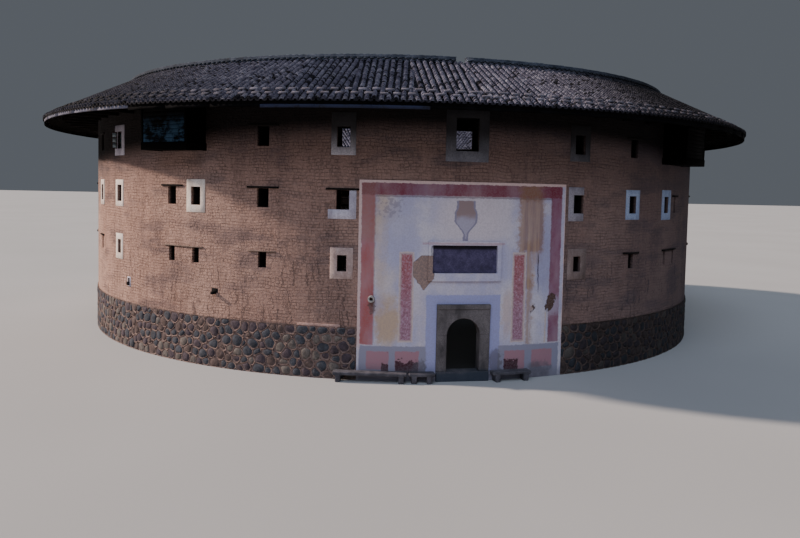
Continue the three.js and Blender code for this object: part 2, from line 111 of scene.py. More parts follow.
def beside(angle: Measure, across: Measure, out: Measure, height: Measure) -> np.ndarray:
    """Points by straight distances in the upright plane square to one radius.

    Args:
        angle: Degrees from the gate to the radius.
        across: Distance to the right of the radius, seen from outside.
        out: Distance along the radius.
        height: Height over the ground.

    Returns:
        The points, with x, y and z as the last axis.
    """
    sine, cosine = np.sin(np.radians(angle)), np.cos(np.radians(angle))
    parts = (across * cosine + out * sine, across * sine - out * cosine, height)
    return np.stack(np.broadcast_arrays(*parts), axis=-1)


def ring(count: int) -> np.ndarray:
    """Gives angles all the way round at even steps, from the gate."""
    return np.arange(count) * 360 / count


@dataclass(frozen=True)
class HouseForm:
    """The surfaces that every piece follows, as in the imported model."""

    wall_radius: float = 19.0
    wall_radius_height: float = 7.5
    batter: float = 0.0213
    wall_inner: float = 17.75
    ridge_radius: float = 16.89
    ridge_underside: float = 14.07
    eave_radius: float = 21.75
    eave_underside: float = 11.73
    inner_eave: float = 12.0
    post_radius: float = 13.35
    bays: int = 32
    lookouts: tuple[float, ...] = (-41.2, 41.2, 138.8, -138.8)

    def wall_at(self, height: Measure) -> Measure:
        """Gives the radius of the wall's face at a height."""
        return self.wall_radius + self.batter * (self.wall_radius_height - height)

    def roof_at(self, radius: Measure) -> Measure:
        """Gives the height of the roof's underside at a radius."""
        slope = (self.ridge_underside - self.eave_underside) / (self.eave_radius - self.ridge_radius)
        return self.ridge_underside - slope * np.abs(radius - self.ridge_radius)

    @property
    def pitch(self) -> float:
        """Gives the slope's horizontal share of its length."""
        run = self.eave_radius - self.ridge_radius
        return run / math.hypot(run, self.ridge_underside - self.eave_underside)


FORM = HouseForm()


class Pile:
    """Faces of one piece, gathered in metres of the real house."""

    BAR_FACES = ((1, 3, 7, 5), (0, 4, 6, 2), (2, 6, 7, 3), (0, 1, 5, 4), (6, 4, 5, 7), (2, 3, 1, 0))
    PLATE_STEP = 0.4

    def __init__(self) -> None:
        """Starts with nothing in it."""
        self.points: list[np.ndarray] = []
        self.faces: list[np.ndarray] = []
        self.looks: list[np.ndarray] = []
        self.count = 0

    def add(self, points: np.ndarray, faces: np.ndarray, look: np.ndarray | int = 0) -> None:
        """Adds points and the faces between them.

        Args:
            points: Points in metres of the real house.
            faces: Numbers of each face's points, all faces with as many corners.
            look: Number of the material, for all faces or for each.
        """
        points = np.asarray(points, dtype=float).reshape(-1, 3)
        faces = np.asarray(faces, dtype=np.int64)
        self.points.append(points)
        self.faces.append(faces + self.count)
        self.looks.append(np.broadcast_to(look, len(faces)).astype(np.int64))
        self.count += len(points)

    def grid(self, lattice: np.ndarray, look: np.ndarray | int = 0) -> None:
        """Adds a skin over rows and columns of points.

        Args:
            lattice: Points by row and column.
            look: Number of the material, for all faces or for each row of them.
        """
        rows, columns = lattice.shape[:2]
        number = np.arange(rows * columns).reshape(rows, columns)
        corners = (number[:-1, :-1], number[:-1, 1:], number[1:, 1:], number[1:, :-1])
        faces = np.stack(corners, axis=-1).reshape(-1, 4)
        if isinstance(look, np.ndarray):
            look = np.repeat(look, columns - 1)
        self.add(lattice, faces, look)

    def tube(self, lattice: np.ndarray, look: int = 0, closed: bool = False) -> None:
        """Adds a solid whose section is carried along a path.

        Args:
            lattice: Points by step along the path and by corner of the section.
            look: Number of the material.
            closed: Whether the path ends where it starts.
        """
        steps, corners = lattice.shape[:2]
        number = np.arange(steps * corners).reshape(steps, corners)
        ahead = np.roll(number, -1, axis=0) if closed else number[1:]
        here = number if closed else number[:-1]
        quads = (here, ahead, np.roll(ahead, -1, axis=1), np.roll(here, -1, axis=1))
        start = self.count
        self.add(lattice, np.stack(quads, axis=-1).reshape(-1, 4), look)
        if not closed:
            ends = np.stack([number[0], number[-1][::-1]]) + start
            self.faces.append(ends)
            self.looks.append(np.full(len(ends), look))

    def sweep(
        self, section: Sequence[Span], angles: np.ndarray, look: int = 0, closed: bool = False
    ) -> None:
        """Adds a stretch of ring: its section is radius and height, counter-clockwise."""
        corners = np.asarray(section, dtype=float)
        self.tube(around(angles[:, None], corners[None, :, 0], corners[None, :, 1]), look, closed)

    def bars(
        self,
        angles: Measure,
        across: tuple[Measure, Measure],
        out: tuple[Measure, Measure],
        up: tuple[Measure, Measure],
        base: Callable[[np.ndarray], np.ndarray] | None = None,
        look: np.ndarray | int = 0,
    ) -> None:
        """Adds straight-sided bars, one at each angle.

        Args:
            angles: Degrees from the gate.
            across: Left and right side, as numbers or one for each bar.
            out: Near and far end along the radius.
            up: Foot and top.
            base: Surface that up is counted from, by radius.
            look: Number of the material, for all or for each bar.
        """
        angles = np.atleast_1d(np.asarray(angles, dtype=float))
        count = len(angles)
        pairs = (across, out, up)
        sides, ends, heights = ([np.broadcast_to(value, count) for value in pair] for pair in pairs)
        corners = []
        for side in sides:
            for end in ends:
                for height in heights:
                    lift = base(np.hypot(side, end)) if base else 0.0
                    corners.append(beside(angles, side, end, height + lift))
        points = np.stack(corners, axis=1)
        faces = np.asarray(self.BAR_FACES)[None] + 8 * np.arange(count)[:, None, None]
        self.add(points, faces.reshape(-1, 4), np.repeat(np.broadcast_to(look, count), 6))

    def plate(
        self, angle: float, across: Span, up: Span, proud: float, sunk: float = 0.03, look: int = 0
    ) -> None:
        """Adds a curved plate on the wall's face.

        Args:
            angle: Degrees to where across is counted from.
            across: Left and right side along the wall.
            up: Foot and top.
            proud: How far it stands off the wall.
            sunk: How far it goes into the wall.
            look: Number of the material.
        """
        low, high = up
        steps = max(2, math.ceil((across[1] - across[0]) / self.PLATE_STEP) + 1)
        angles = angle + np.degrees(np.linspace(*across, steps) / FORM.wall_radius)
        face_low, face_high = FORM.wall_at(low), FORM.wall_at(high)
        section = (
            (face_low - sunk, low),
            (face_low + proud, low),
            (face_high + proud, high),
            (face_high - sunk, high),
        )
        self.sweep(section, angles, look)

    def pierced(
        self,
        angle: float,
        across: Sequence[float],
        up: Sequence[float],
        cells: set[tuple[int, int]],
        proud: float,
        sunk: float = 0.03,
        look: int = 0,
    ) -> None:
        """Adds a plate on the wall's face in one skin, made of the cells of a lattice.

        Args:
            angle: Degrees to where across is counted from.
            across: The lattice's lines along the wall.
            up: The lattice's lines by height.
            cells: The cells that are filled, as column and level.
            proud: How far it stands off the wall.
            sunk: How far it goes into the wall.
            look: Number of the material.
        """
        sides, levels = np.meshgrid(across, up, indexing="ij")
        angles = angle + np.degrees(sides / FORM.wall_radius)
        skins = [around(angles, FORM.wall_at(levels) + off, levels).reshape(-1, 3) for off in (-sunk, proud)]
        faces = []
        for column, level in sorted(cells):
            spots = ((column, level), (column + 1, level), (column + 1, level + 1), (column, level + 1))
            back = [side * len(up) + height for side, height in spots]
            front = [corner + sides.size for corner in back]
            faces += [front, back[::-1]]
            for edge, (aside, above) in enumerate(((0, -1), (1, 0), (0, 1), (-1, 0))):
                if (column + aside, level + above) not in cells:
                    after = (edge + 1) % 4
                    faces.append([front[after], front[edge], back[edge], back[after]])
        used, renumbered = np.unique(np.array(faces), return_inverse=True)
        self.add(np.concatenate(skins)[used], renumbered.reshape(-1, 4), look)

    def piece(self, name: str, looks: Sequence["Finish"], slot: str, **settings: float | tuple) -> None:
        """Makes the piece of what was gathered and puts it on the house.

        Args:
            name: Name of the piece.
            looks: Its finishes, by number.
            slot: Slot of the record that its finish belongs to.
            settings: Its edges and the nodes that it stands for, as place takes them.
        """
        mesh = bpy.data.meshes.new(name)
        mesh.vertices.add(self.count)
        mesh.vertices.foreach_set("co", (np.concatenate(self.points) * SCALE).ravel())
        corners = np.concatenate([faces.ravel() for faces in self.faces])
        sizes = np.concatenate([np.full(len(faces), faces.shape[1]) for faces in self.faces])
        mesh.loops.add(len(corners))
        mesh.loops.foreach_set("vertex_index", corners)
        mesh.polygons.add(len(sizes))
        mesh.polygons.foreach_set("loop_start", np.cumsum(sizes) - sizes)
        mesh.polygons.foreach_set("material_index", np.concatenate(self.looks))
        mesh.update(calc_edges=True)
        for look in looks:
            mesh.materials.append(look.material())
        place(name, mesh, slot, **settings)


def place(
    name: str,
    mesh: bpy.types.Mesh,
    slot: str,
    sharp: float | None = None,
    bevel: float = 0.0,
    replaces: Iterable[str] = (),
) -> None:
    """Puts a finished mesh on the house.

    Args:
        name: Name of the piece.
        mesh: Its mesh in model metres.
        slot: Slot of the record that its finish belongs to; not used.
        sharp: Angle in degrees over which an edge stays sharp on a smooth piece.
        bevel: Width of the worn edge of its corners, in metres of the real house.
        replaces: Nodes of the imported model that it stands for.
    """
    if sharp is not None:
        mesh.polygons.foreach_set("use_smooth", np.ones(len(mesh.polygons), dtype=bool))
        mesh.set_sharp_from_angle(angle=math.radians(sharp))
    piece = bpy.data.objects.new(name, mesh)
    bpy.context.scene.collection.objects.link(piece)
    if bevel:
        worn = piece.modifiers.new("worn_edges", "BEVEL")
        worn.width = bevel * SCALE
        worn.segments = 1
        worn.limit_method = "ANGLE"
    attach(piece, BODY)
    nodes = tuple(replaces)
    if nodes:
        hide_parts(*nodes)
    LOG.info("%s: %d faces", name, len(mesh.polygons))


class Wiring:
    """Nodes of one material, with places in metres of the real house."""

    # Where painted shade falls towards the far left and right of the gate side
    GATE_SIDE = (9.0, 1.0)
    LEFT_FLANK = (0.35, 0.9)
    RIGHT_FLANK = (0.2, 0.62)

    def __init__(self, name: str) -> None:
        """Starts a material.

        Args:
            name: Name of the material.
        """
        self.material = bpy.data.materials.new(name)
        self.material.use_nodes = True
        self.tree = self.material.node_tree
        self.shader = self.tree.nodes["Principled BSDF"]
        self.place = self.vector("SCALE", self.node("ShaderNodeTexCoord").outputs["Object"], 1 / SCALE)
        split = self.node("ShaderNodeSeparateXYZ")
        self.link(self.place, split.inputs[0])
        self.x, self.y, self.height = split.outputs

    def node(self, kind: str, **settings: str | float | bool) -> bpy.types.Node:
        """Adds a node.

        Args:
            kind: Blender's name for its kind.
            settings: Its settings by name.

        Returns:
            The new node.
        """
        added = self.tree.nodes.new(kind)
        for key, setting in settings.items():
            setattr(added, key, setting)
        return added

    def link(self, value: Value | Color, socket: Socket) -> None:
        """Feeds a socket.

        Args:
            value: The socket that it is fed from, or a fixed value.
            socket: The socket that is fed.
        """
        if isinstance(value, Socket):
            self.tree.links.new(value, socket)
        else:
            socket.default_value = value

    def math(self, operation: str, *values: Value) -> Socket:
        """Works out one sum.

        Args:
            operation: Blender's name for it.
            values: What goes into it, in order.

        Returns:
            The result.
        """
        added = self.node("ShaderNodeMath", operation=operation)
        for value, socket in zip(values, added.inputs):
            self.link(value, socket)
        return added.outputs[0]

    def times(self, first: Value, second: Value) -> Socket:
        """Gives the product of two values."""
        return self.math("MULTIPLY", first, second)

    def vector(self, operation: str, first: Socket, second: Value | Triple) -> Socket:
        """Works out one sum with places.

        Args:
            operation: Blender's name for it.
            first: A place.
            second: A number when scaling, or else a place.

        Returns:
            The new place.
        """
        added = self.node("ShaderNodeVectorMath", operation=operation)
        self.link(first, added.inputs[0])
        self.link(second, added.inputs["Scale" if operation == "SCALE" else 1])
        return added.outputs[0]

    def turn(self) -> Socket:
        """Gives the angle from the gate in radians."""
        return self.math("ARCTAN2", self.x, self.times(self.y, -1.0))

    def radius(self) -> Socket:
        """Gives the distance from the middle of the house."""
        return self.math("SQRT", self.math("MULTIPLY_ADD", self.x, self.x, self.times(self.y, self.y)))

    def noise(
        self, scale: float, stretch: Triple = (1.0, 1.0, 1.0), detail: float = 4.0, roughness: float = 0.55
    ) -> Socket:
        """Gives soft noise from 0 to 1.

        Args:
            scale: Spots in one metre of the real house.
            stretch: Factors along x, y and z.
            detail: Octaves of finer noise.
            roughness: Strength of the finer noise.

        Returns:
            The noise.
        """
        added = self.node("ShaderNodeTexNoise")
        self.link(self.vector("MULTIPLY", self.place, stretch), added.inputs["Vector"])
        added.inputs["Scale"].default_value = scale
        added.inputs["Detail"].default_value = detail
        added.inputs["Roughness"].default_value = roughness
        return added.outputs["Fac"]

    def step(self, value: Value, low: float, high: float, to: Span = (0.0, 1.0)) -> Socket:
        """Gives a soft step.

        Args:
            value: What is compared.
            low: Value where the step starts.
            high: Value where the step ends.
            to: What is given before and after it.

        Returns:
            The step.
        """
        added = self.node("ShaderNodeMapRange", interpolation_type="SMOOTHSTEP")
        for number, socket in zip((value, low, high, *to), added.inputs):
            self.link(number, socket)
        return added.outputs[0]

    def mix(self, amount: Value, first: Value | Color, second: Value | Color) -> Socket:
        """Gives a mix of two colours.

        Args:
            amount: Share of the second.
            first: The colour below.
            second: The colour above.

        Returns:
            The mixed colour.
        """
        added = self.node("ShaderNodeMix", data_type="RGBA", blend_type="MIX")
        for value, at in ((amount, 0), (first, 6), (second, 7)):
            self.link(value, added.inputs[at])
        return added.outputs[2]

    def coat(self, color: Value | Color, code: str, mask: Value, amount: float = 1.0) -> Socket:
        """Lays a second colour over a colour where the mask is 1, hiding a share of it."""
        return self.mix(mask if amount == 1.0 else self.times(mask, amount), color, paint(code))

    def bump(self, height: Value, distance: float, under: Socket | None = None) -> Socket:
        """Gives the surface's direction for a relief.

        Args:
            height: The relief from 0 to 1.
            distance: Its depth in metres of the real house.
            under: The direction that it is added to.

        Returns:
            The direction.
        """
        added = self.node("ShaderNodeBump")
        added.inputs["Distance"].default_value = distance * SCALE
        self.link(height, added.inputs["Height"])
        if under:
            self.link(under, added.inputs["Normal"])
        return added.outputs[0]

    def flank_shaded(self, color: Socket, amounts: Span, right: Span = RIGHT_FLANK) -> Socket:
        """Paints shade into a colour towards the far left and right of the gate side.

        Args:
            color: The colour over the gate.
            amounts: Share of painted shade on the far left and on the far right.
            right: Where it starts and ends on the right, as shares of the wall's radius.

        Returns:
            The colour all round.
        """
        front = self.step(self.y, *self.GATE_SIDE)
        for amount, side, (start, end) in zip(amounts, (-1.0, 1.0), (self.LEFT_FLANK, right)):
            if amount:
                aside = self.times(self.x, side / FORM.wall_radius)
                shade = self.step(aside, start, end, to=(0.0, amount))
                color = self.coat(color, PAINTED_SHADE, self.times(shade, front))
        return color

    def finish(
        self, color: Value | Color, roughness: Value, relief: Socket | None = None, specular: float = 0.3
    ) -> Material:
        """Feeds the shader and gives the material.

        Args:
            color: Colour of the surface.
            roughness: Its roughness.
            relief: Its direction.
            specular: Strength of its reflection.

        Returns:
            The finished material.
        """
        self.link(color, self.shader.inputs["Base Color"])
        self.link(roughness, self.shader.inputs["Roughness"])
        self.shader.inputs["Specular IOR Level"].default_value = specular
        if relief:
            self.link(relief, self.shader.inputs["Normal"])
        return self.material


@dataclass(frozen=True)
class Mottled:
    """A rough mineral finish: stone, tile, mortar, brick or limewash, with painted shade where its settings
    ask for it.
    """

    base: str
    dark: str
    light: str
    spots: float = 2.5
    grain: float = 30.0
    depth: float = 0.006
    roughness: float = 0.88
    roughness_spread: float = 0.08
    stretch: Triple = (1.0, 1.0, 1.0)
    # Painted shade towards the far left and right of the gate side
    flanks: Span = (0.0, 0.0)
    right: Span = Wiring.RIGHT_FLANK
    foot: str | None = None
    foot_fade: Span = (0.75, 0.45)
    # Painted eave shade high up, and painted shadow just below a rim
    eave_shade: float = 0.0
    eave_shade_fade: Span = (9.8, 11.1)
    ledge_shadow: float | None = None
    ledge_shadow_fade: Span = (-0.16, -0.06)
    shine: float = 0.3

    def make(self, name: str) -> Material:
        """Makes the material.

        Args:
            name: Name of the material.

        Returns:
            The material.
        """
        wiring = Wiring(name)
        broad = wiring.noise(self.spots, self.stretch, detail=5.0, roughness=0.65)
        fine = wiring.noise(self.grain, detail=3.0, roughness=0.7)
        color = wiring.mix(wiring.step(broad, 0.42, 0.68), paint(self.base), paint(self.light))
        color = wiring.coat(color, self.dark, wiring.step(broad, 0.5, 0.28))
        color = wiring.coat(color, self.dark, wiring.step(fine, 0.62, 0.35, to=(0.0, 0.55)))
        color = wiring.flank_shaded(color, self.flanks, self.right)
        if self.foot:
            height = wiring.math("MULTIPLY_ADD", broad, 0.3, wiring.height)
            color = wiring.coat(color, self.foot, wiring.step(height, *self.foot_fade, to=(0.0, 0.8)))
        if self.ledge_shadow:
            start, end = (self.ledge_shadow + below for below in self.ledge_shadow_fade)
            color = wiring.coat(color, PAINTED_SHADE, wiring.step(wiring.height, start, end, to=(0.0, 0.85)))
        if self.eave_shade:
            eave_shadow_mask = wiring.step(wiring.height, *self.eave_shade_fade, to=(0.0, self.eave_shade))
            color = wiring.coat(color, PAINTED_SHADE, eave_shadow_mask)
        relief = wiring.bump(fine, self.depth, wiring.bump(broad, self.depth * 3))
        roughest = min(1.0, self.roughness + self.roughness_spread)
        rough = wiring.step(broad, 0.2, 0.8, to=(self.roughness - self.roughness_spread, roughest))
        return wiring.finish(color, rough, relief, self.shine)


@dataclass(frozen=True)
class Grained:
    """Wood with a long grain, bare or under worn limewash, with painted shade where its settings ask for it.
    """

    base: str
    dark: str
    light: str
    stretch: Triple = (9.0, 9.0, 0.7)
    wash: str | None = None
    worn: float = 0.5
    worn_soft: float = 0.16
    roughness: float = 0.75
    # Painted shade towards the far left and right of the gate side
    flanks: Span = (0.0, 0.0)
    shine: float = 0.3
    # Painted eave shade from a height upwards
    eave_shade_from: float | None = None
    eave_shade_depth: float = 0.9

    def make(self, name: str) -> Material:
        """Makes the material.

        Args:
            name: Name of the material.

        Returns:
            The material.
        """
        wiring = Wiring(name)
        grain = wiring.noise(3.0, self.stretch, detail=6.0, roughness=0.6)
        patches = wiring.noise(1.4, detail=4.0, roughness=0.6)
        color = wiring.mix(wiring.step(grain, 0.35, 0.65), paint(self.dark), paint(self.base))
        color = wiring.coat(color, self.light, wiring.step(patches, 0.5, 0.75, to=(0.0, 0.6)))
        if self.wash:
            kept = wiring.math("ADD", patches, wiring.times(grain, 0.45))
            color = wiring.coat(color, self.wash, wiring.step(kept, self.worn, self.worn + self.worn_soft))
        color = wiring.flank_shaded(color, self.flanks)
        if self.eave_shade_from:
            eave_shadow_mask = wiring.step(wiring.height, self.eave_shade_from, self.eave_shade_from + self.eave_shade_depth)
            color = wiring.coat(color, PAINTED_SHADE, eave_shadow_mask)
        rough = wiring.step(grain, 0.2, 0.8, to=(self.roughness, 0.95))
        return wiring.finish(color, rough, wiring.bump(grain, 0.008), self.shine)


class EarthPaint(Wiring):
    """Earth rammed in lifts, streaked by rain and finely cracked, with painted shade on its right, under the
    eave and in the openings.
    """

    BASE = "b28d7d"
    DARK = "927366"
    LIGHT = "cca796"
    CRACK = "4a3c37"
    SHADE = "46424a"
    LIFT = 0.14
    JOINT_EVERY = 0.21
    JOINT_WIDTH = 0.07
    SLAB = (0.7, 1.1)
    SLAB_WIDTH = 0.03
    # Heights of painted eave shade, how much lower it starts on the flanks, and the share of painted shade on
    # the right
    UPPER_SHADE = (8.4, 11.6)
    EAVE_SHADOW = (10.5, 11.6)
    FLANK_RISE = 1.6
    SIDE_SHADE = 0.42
    LIT_DEPTH = (0.02, 0.22)
    INNER_DEPTH = (1.15, 1.0)

    def painted(self) -> Material:
        """Paints the earth.

        Returns:
            Its material.
        """
        turn = self.turn()
        seams, joints, slabs = self.cracks(turn)
        streaks = self.noise(1.1, (1.0, 1.0, 0.12), detail=7.0, roughness=0.68)
        broad = self.noise(0.22, (1.0, 1.0, 0.6), detail=4.0)
        courses = self.noise(2.2, (1.0, 1.0, 5.0), detail=5.0, roughness=0.72)
        lumps = self.noise(6.5, (1.0, 1.0, 1.5), detail=2.0)
        grit = self.noise(16.0, detail=4.0, roughness=0.75)

        color = self.mix(self.step(streaks, 0.36, 0.62), paint(self.DARK), paint(self.BASE))
        color = self.coat(color, self.LIGHT, self.step(broad, 0.42, 0.66, to=(0.0, 0.7)))
        color = self.coat(color, self.DARK, self.step(courses, 0.5, 0.3, to=(0.0, 0.6)))
        color = self.coat(color, self.LIGHT, self.step(courses, 0.55, 0.75, to=(0.0, 0.5)))
        color = self.coat(color, self.LIGHT, self.step(lumps, 0.45, 0.62, to=(0.0, 0.35)))
        for lines, amount in ((seams, 0.42), (joints, 0.42), (slabs, 0.72)):
            color = self.coat(color, self.CRACK, lines, amount)
        color = self.coat(color, self.DARK, self.step(grit, 0.58, 0.35, to=(0.0, 0.4)))
        color = self.shaded_and_banded(color, turn)

        relief = self.bump(streaks, 0.04)
        relief = self.bump(courses, 0.05, relief)
        relief = self.bump(lumps, 0.035, relief)
        relief = self.bump(grit, 0.02, relief)
        lines = self.math("MAXIMUM", self.math("MAXIMUM", seams, joints), slabs)
        relief = self.bump(self.math("SUBTRACT", 1.0, lines), 0.025, relief)
        return self.finish(color, 0.95, relief, 0.15)

    def cracks(self, turn: Value) -> tuple[Socket, ...]:
        """Gives the lines in the earth.

        Args:
            turn: Angle from the gate in radians.

        Returns:
            The seams between lifts, the short uprights within them and the long cracks, from 0 to 1.
        """
        ragged = self.noise(6.0, detail=5.0, roughness=0.7)
        wander = self.math("MULTIPLY_ADD", self.noise(0.4, detail=2.0), 0.5, self.height)
        up = self.math("MULTIPLY_ADD", ragged, 0.08, wander)
        side = self.math("MULTIPLY_ADD", ragged, 0.2, self.times(turn, FORM.wall_radius))
        fades = self.noise(1.2, (1.0, 1.0, 2.0), roughness=0.7)
        seams = self.step(self.math("PINGPONG", up, self.LIFT / 2), 0.018, 0.0)
        seams = self.times(seams, self.step(fades, 0.36, 0.6, to=(0.35, 1.0)))
        joints = self.uprights(side, up, self.JOINT_EVERY, self.LIFT, self.JOINT_WIDTH)
        joints = self.times(joints, self.step(fades, 0.4, 0.6, to=(0.3, 1.0)))
        bent = self.math("MULTIPLY_ADD", self.noise(0.9, detail=4.0, roughness=0.65), 0.9, side)
        slabs = self.uprights(bent, up, *self.SLAB, self.SLAB_WIDTH)
        lonely = self.step(self.noise(0.5, detail=3.0), 0.42, 0.52)
        lonely = self.times(lonely, self.step(self.height, 6.5, 4.0, to=(0.3, 1.0)))
        return seams, joints, self.times(slabs, lonely)

    def shaded_and_banded(self, color: Socket, turn: Value) -> Socket:
        """Lays painted shade over the earth, on its right side, under the eave and in the openings, and dark
        bands at random.

        Args:
            color: The dry earth's colour.
            turn: Angle from the gate in radians.

        Returns:
            The new colour.
        """
        # Painted shade growing towards the right of the house, and painted eave shade that starts lower on
        # the flanks
        darkening = self.math("MULTIPLY_ADD", self.math("SINE", turn), self.SIDE_SHADE, self.SIDE_SHADE)
        aside = self.math("POWER", self.math("SINE", turn), 2.0)
        higher = self.math("MULTIPLY_ADD", aside, self.FLANK_RISE, self.height)
        upper_shade = self.step(higher, *self.UPPER_SHADE, to=(0.0, 0.62))
        # Dark bands at random, in the same colour
        bands = self.step(self.noise(0.35, (1.0, 1.0, 3.2), detail=3.0), 0.5, 0.66, to=(0.0, 0.4))
        for mask in (darkening, upper_shade, bands):
            color = self.coat(color, self.SHADE, mask)
        # The deepest painted eave shadow, and painted shade in the openings' depths
        for mask in (self.step(higher, *self.EAVE_SHADOW, to=(0.0, 0.95)), self.reveals()):
            color = self.coat(color, PAINTED_SHADE, mask)
        return color

    def reveals(self) -> Socket:
        """Gives the unlit depth of the openings, between the wall's two faces.

        Returns:
            The depth's painted shade, from 0 to 1.
        """
        face = self.math("MULTIPLY_ADD", self.height, -FORM.batter, float(FORM.wall_at(0.0)))
        depth = self.math("SUBTRACT", face, self.radius())
        unlit = self.step(depth, *self.LIT_DEPTH, to=(0.0, 0.96))
        return self.times(unlit, self.step(depth, *self.INNER_DEPTH))

    def uprights(self, side: Value, up: Value, apart: float, tall: float, width: float) -> Socket:
        """Gives upright cracks at uneven distances, other ones in each course.

        Args:
            side: Distance along the wall.
            up: Height.
            apart: Usual distance between two cracks.
            tall: Height of a course.
            width: Half the width of a crack, as a share of the distance between two.

        Returns:
            The cracks, from 0 to 1.
        """
        flat = self.node("ShaderNodeCombineXYZ")
        self.link(self.math("DIVIDE", side, apart), flat.inputs[0])
        course = self.math("FLOOR", self.math("DIVIDE", up, tall))
        self.link(self.times(course, 5.7), flat.inputs[1])
        cells = self.node("ShaderNodeTexVoronoi", feature="DISTANCE_TO_EDGE", voronoi_dimensions="2D")
        self.link(flat.outputs[0], cells.inputs["Vector"])
        cells.inputs["Scale"].default_value = 1.0
        return self.step(cells.outputs["Distance"], width, width * 0.2)


@dataclass(frozen=True)
class Field:
    """A painted or stained field of the panel: its sides in degrees, its foot and top, and its colour."""

    angles: Span
    heights: Span
    code: str
    amount: float = 1.0
    soft: float = 0.04
    ragged: bool = False


@dataclass(frozen=True)
class Blot:
    """A broken oval on the panel: its angle and height, half its width in degrees and half its height."""

    middle: Span
    half: Span
    code: str
    amount: float = 1.0
    soft: float = 0.75
    lean: float = 0.0


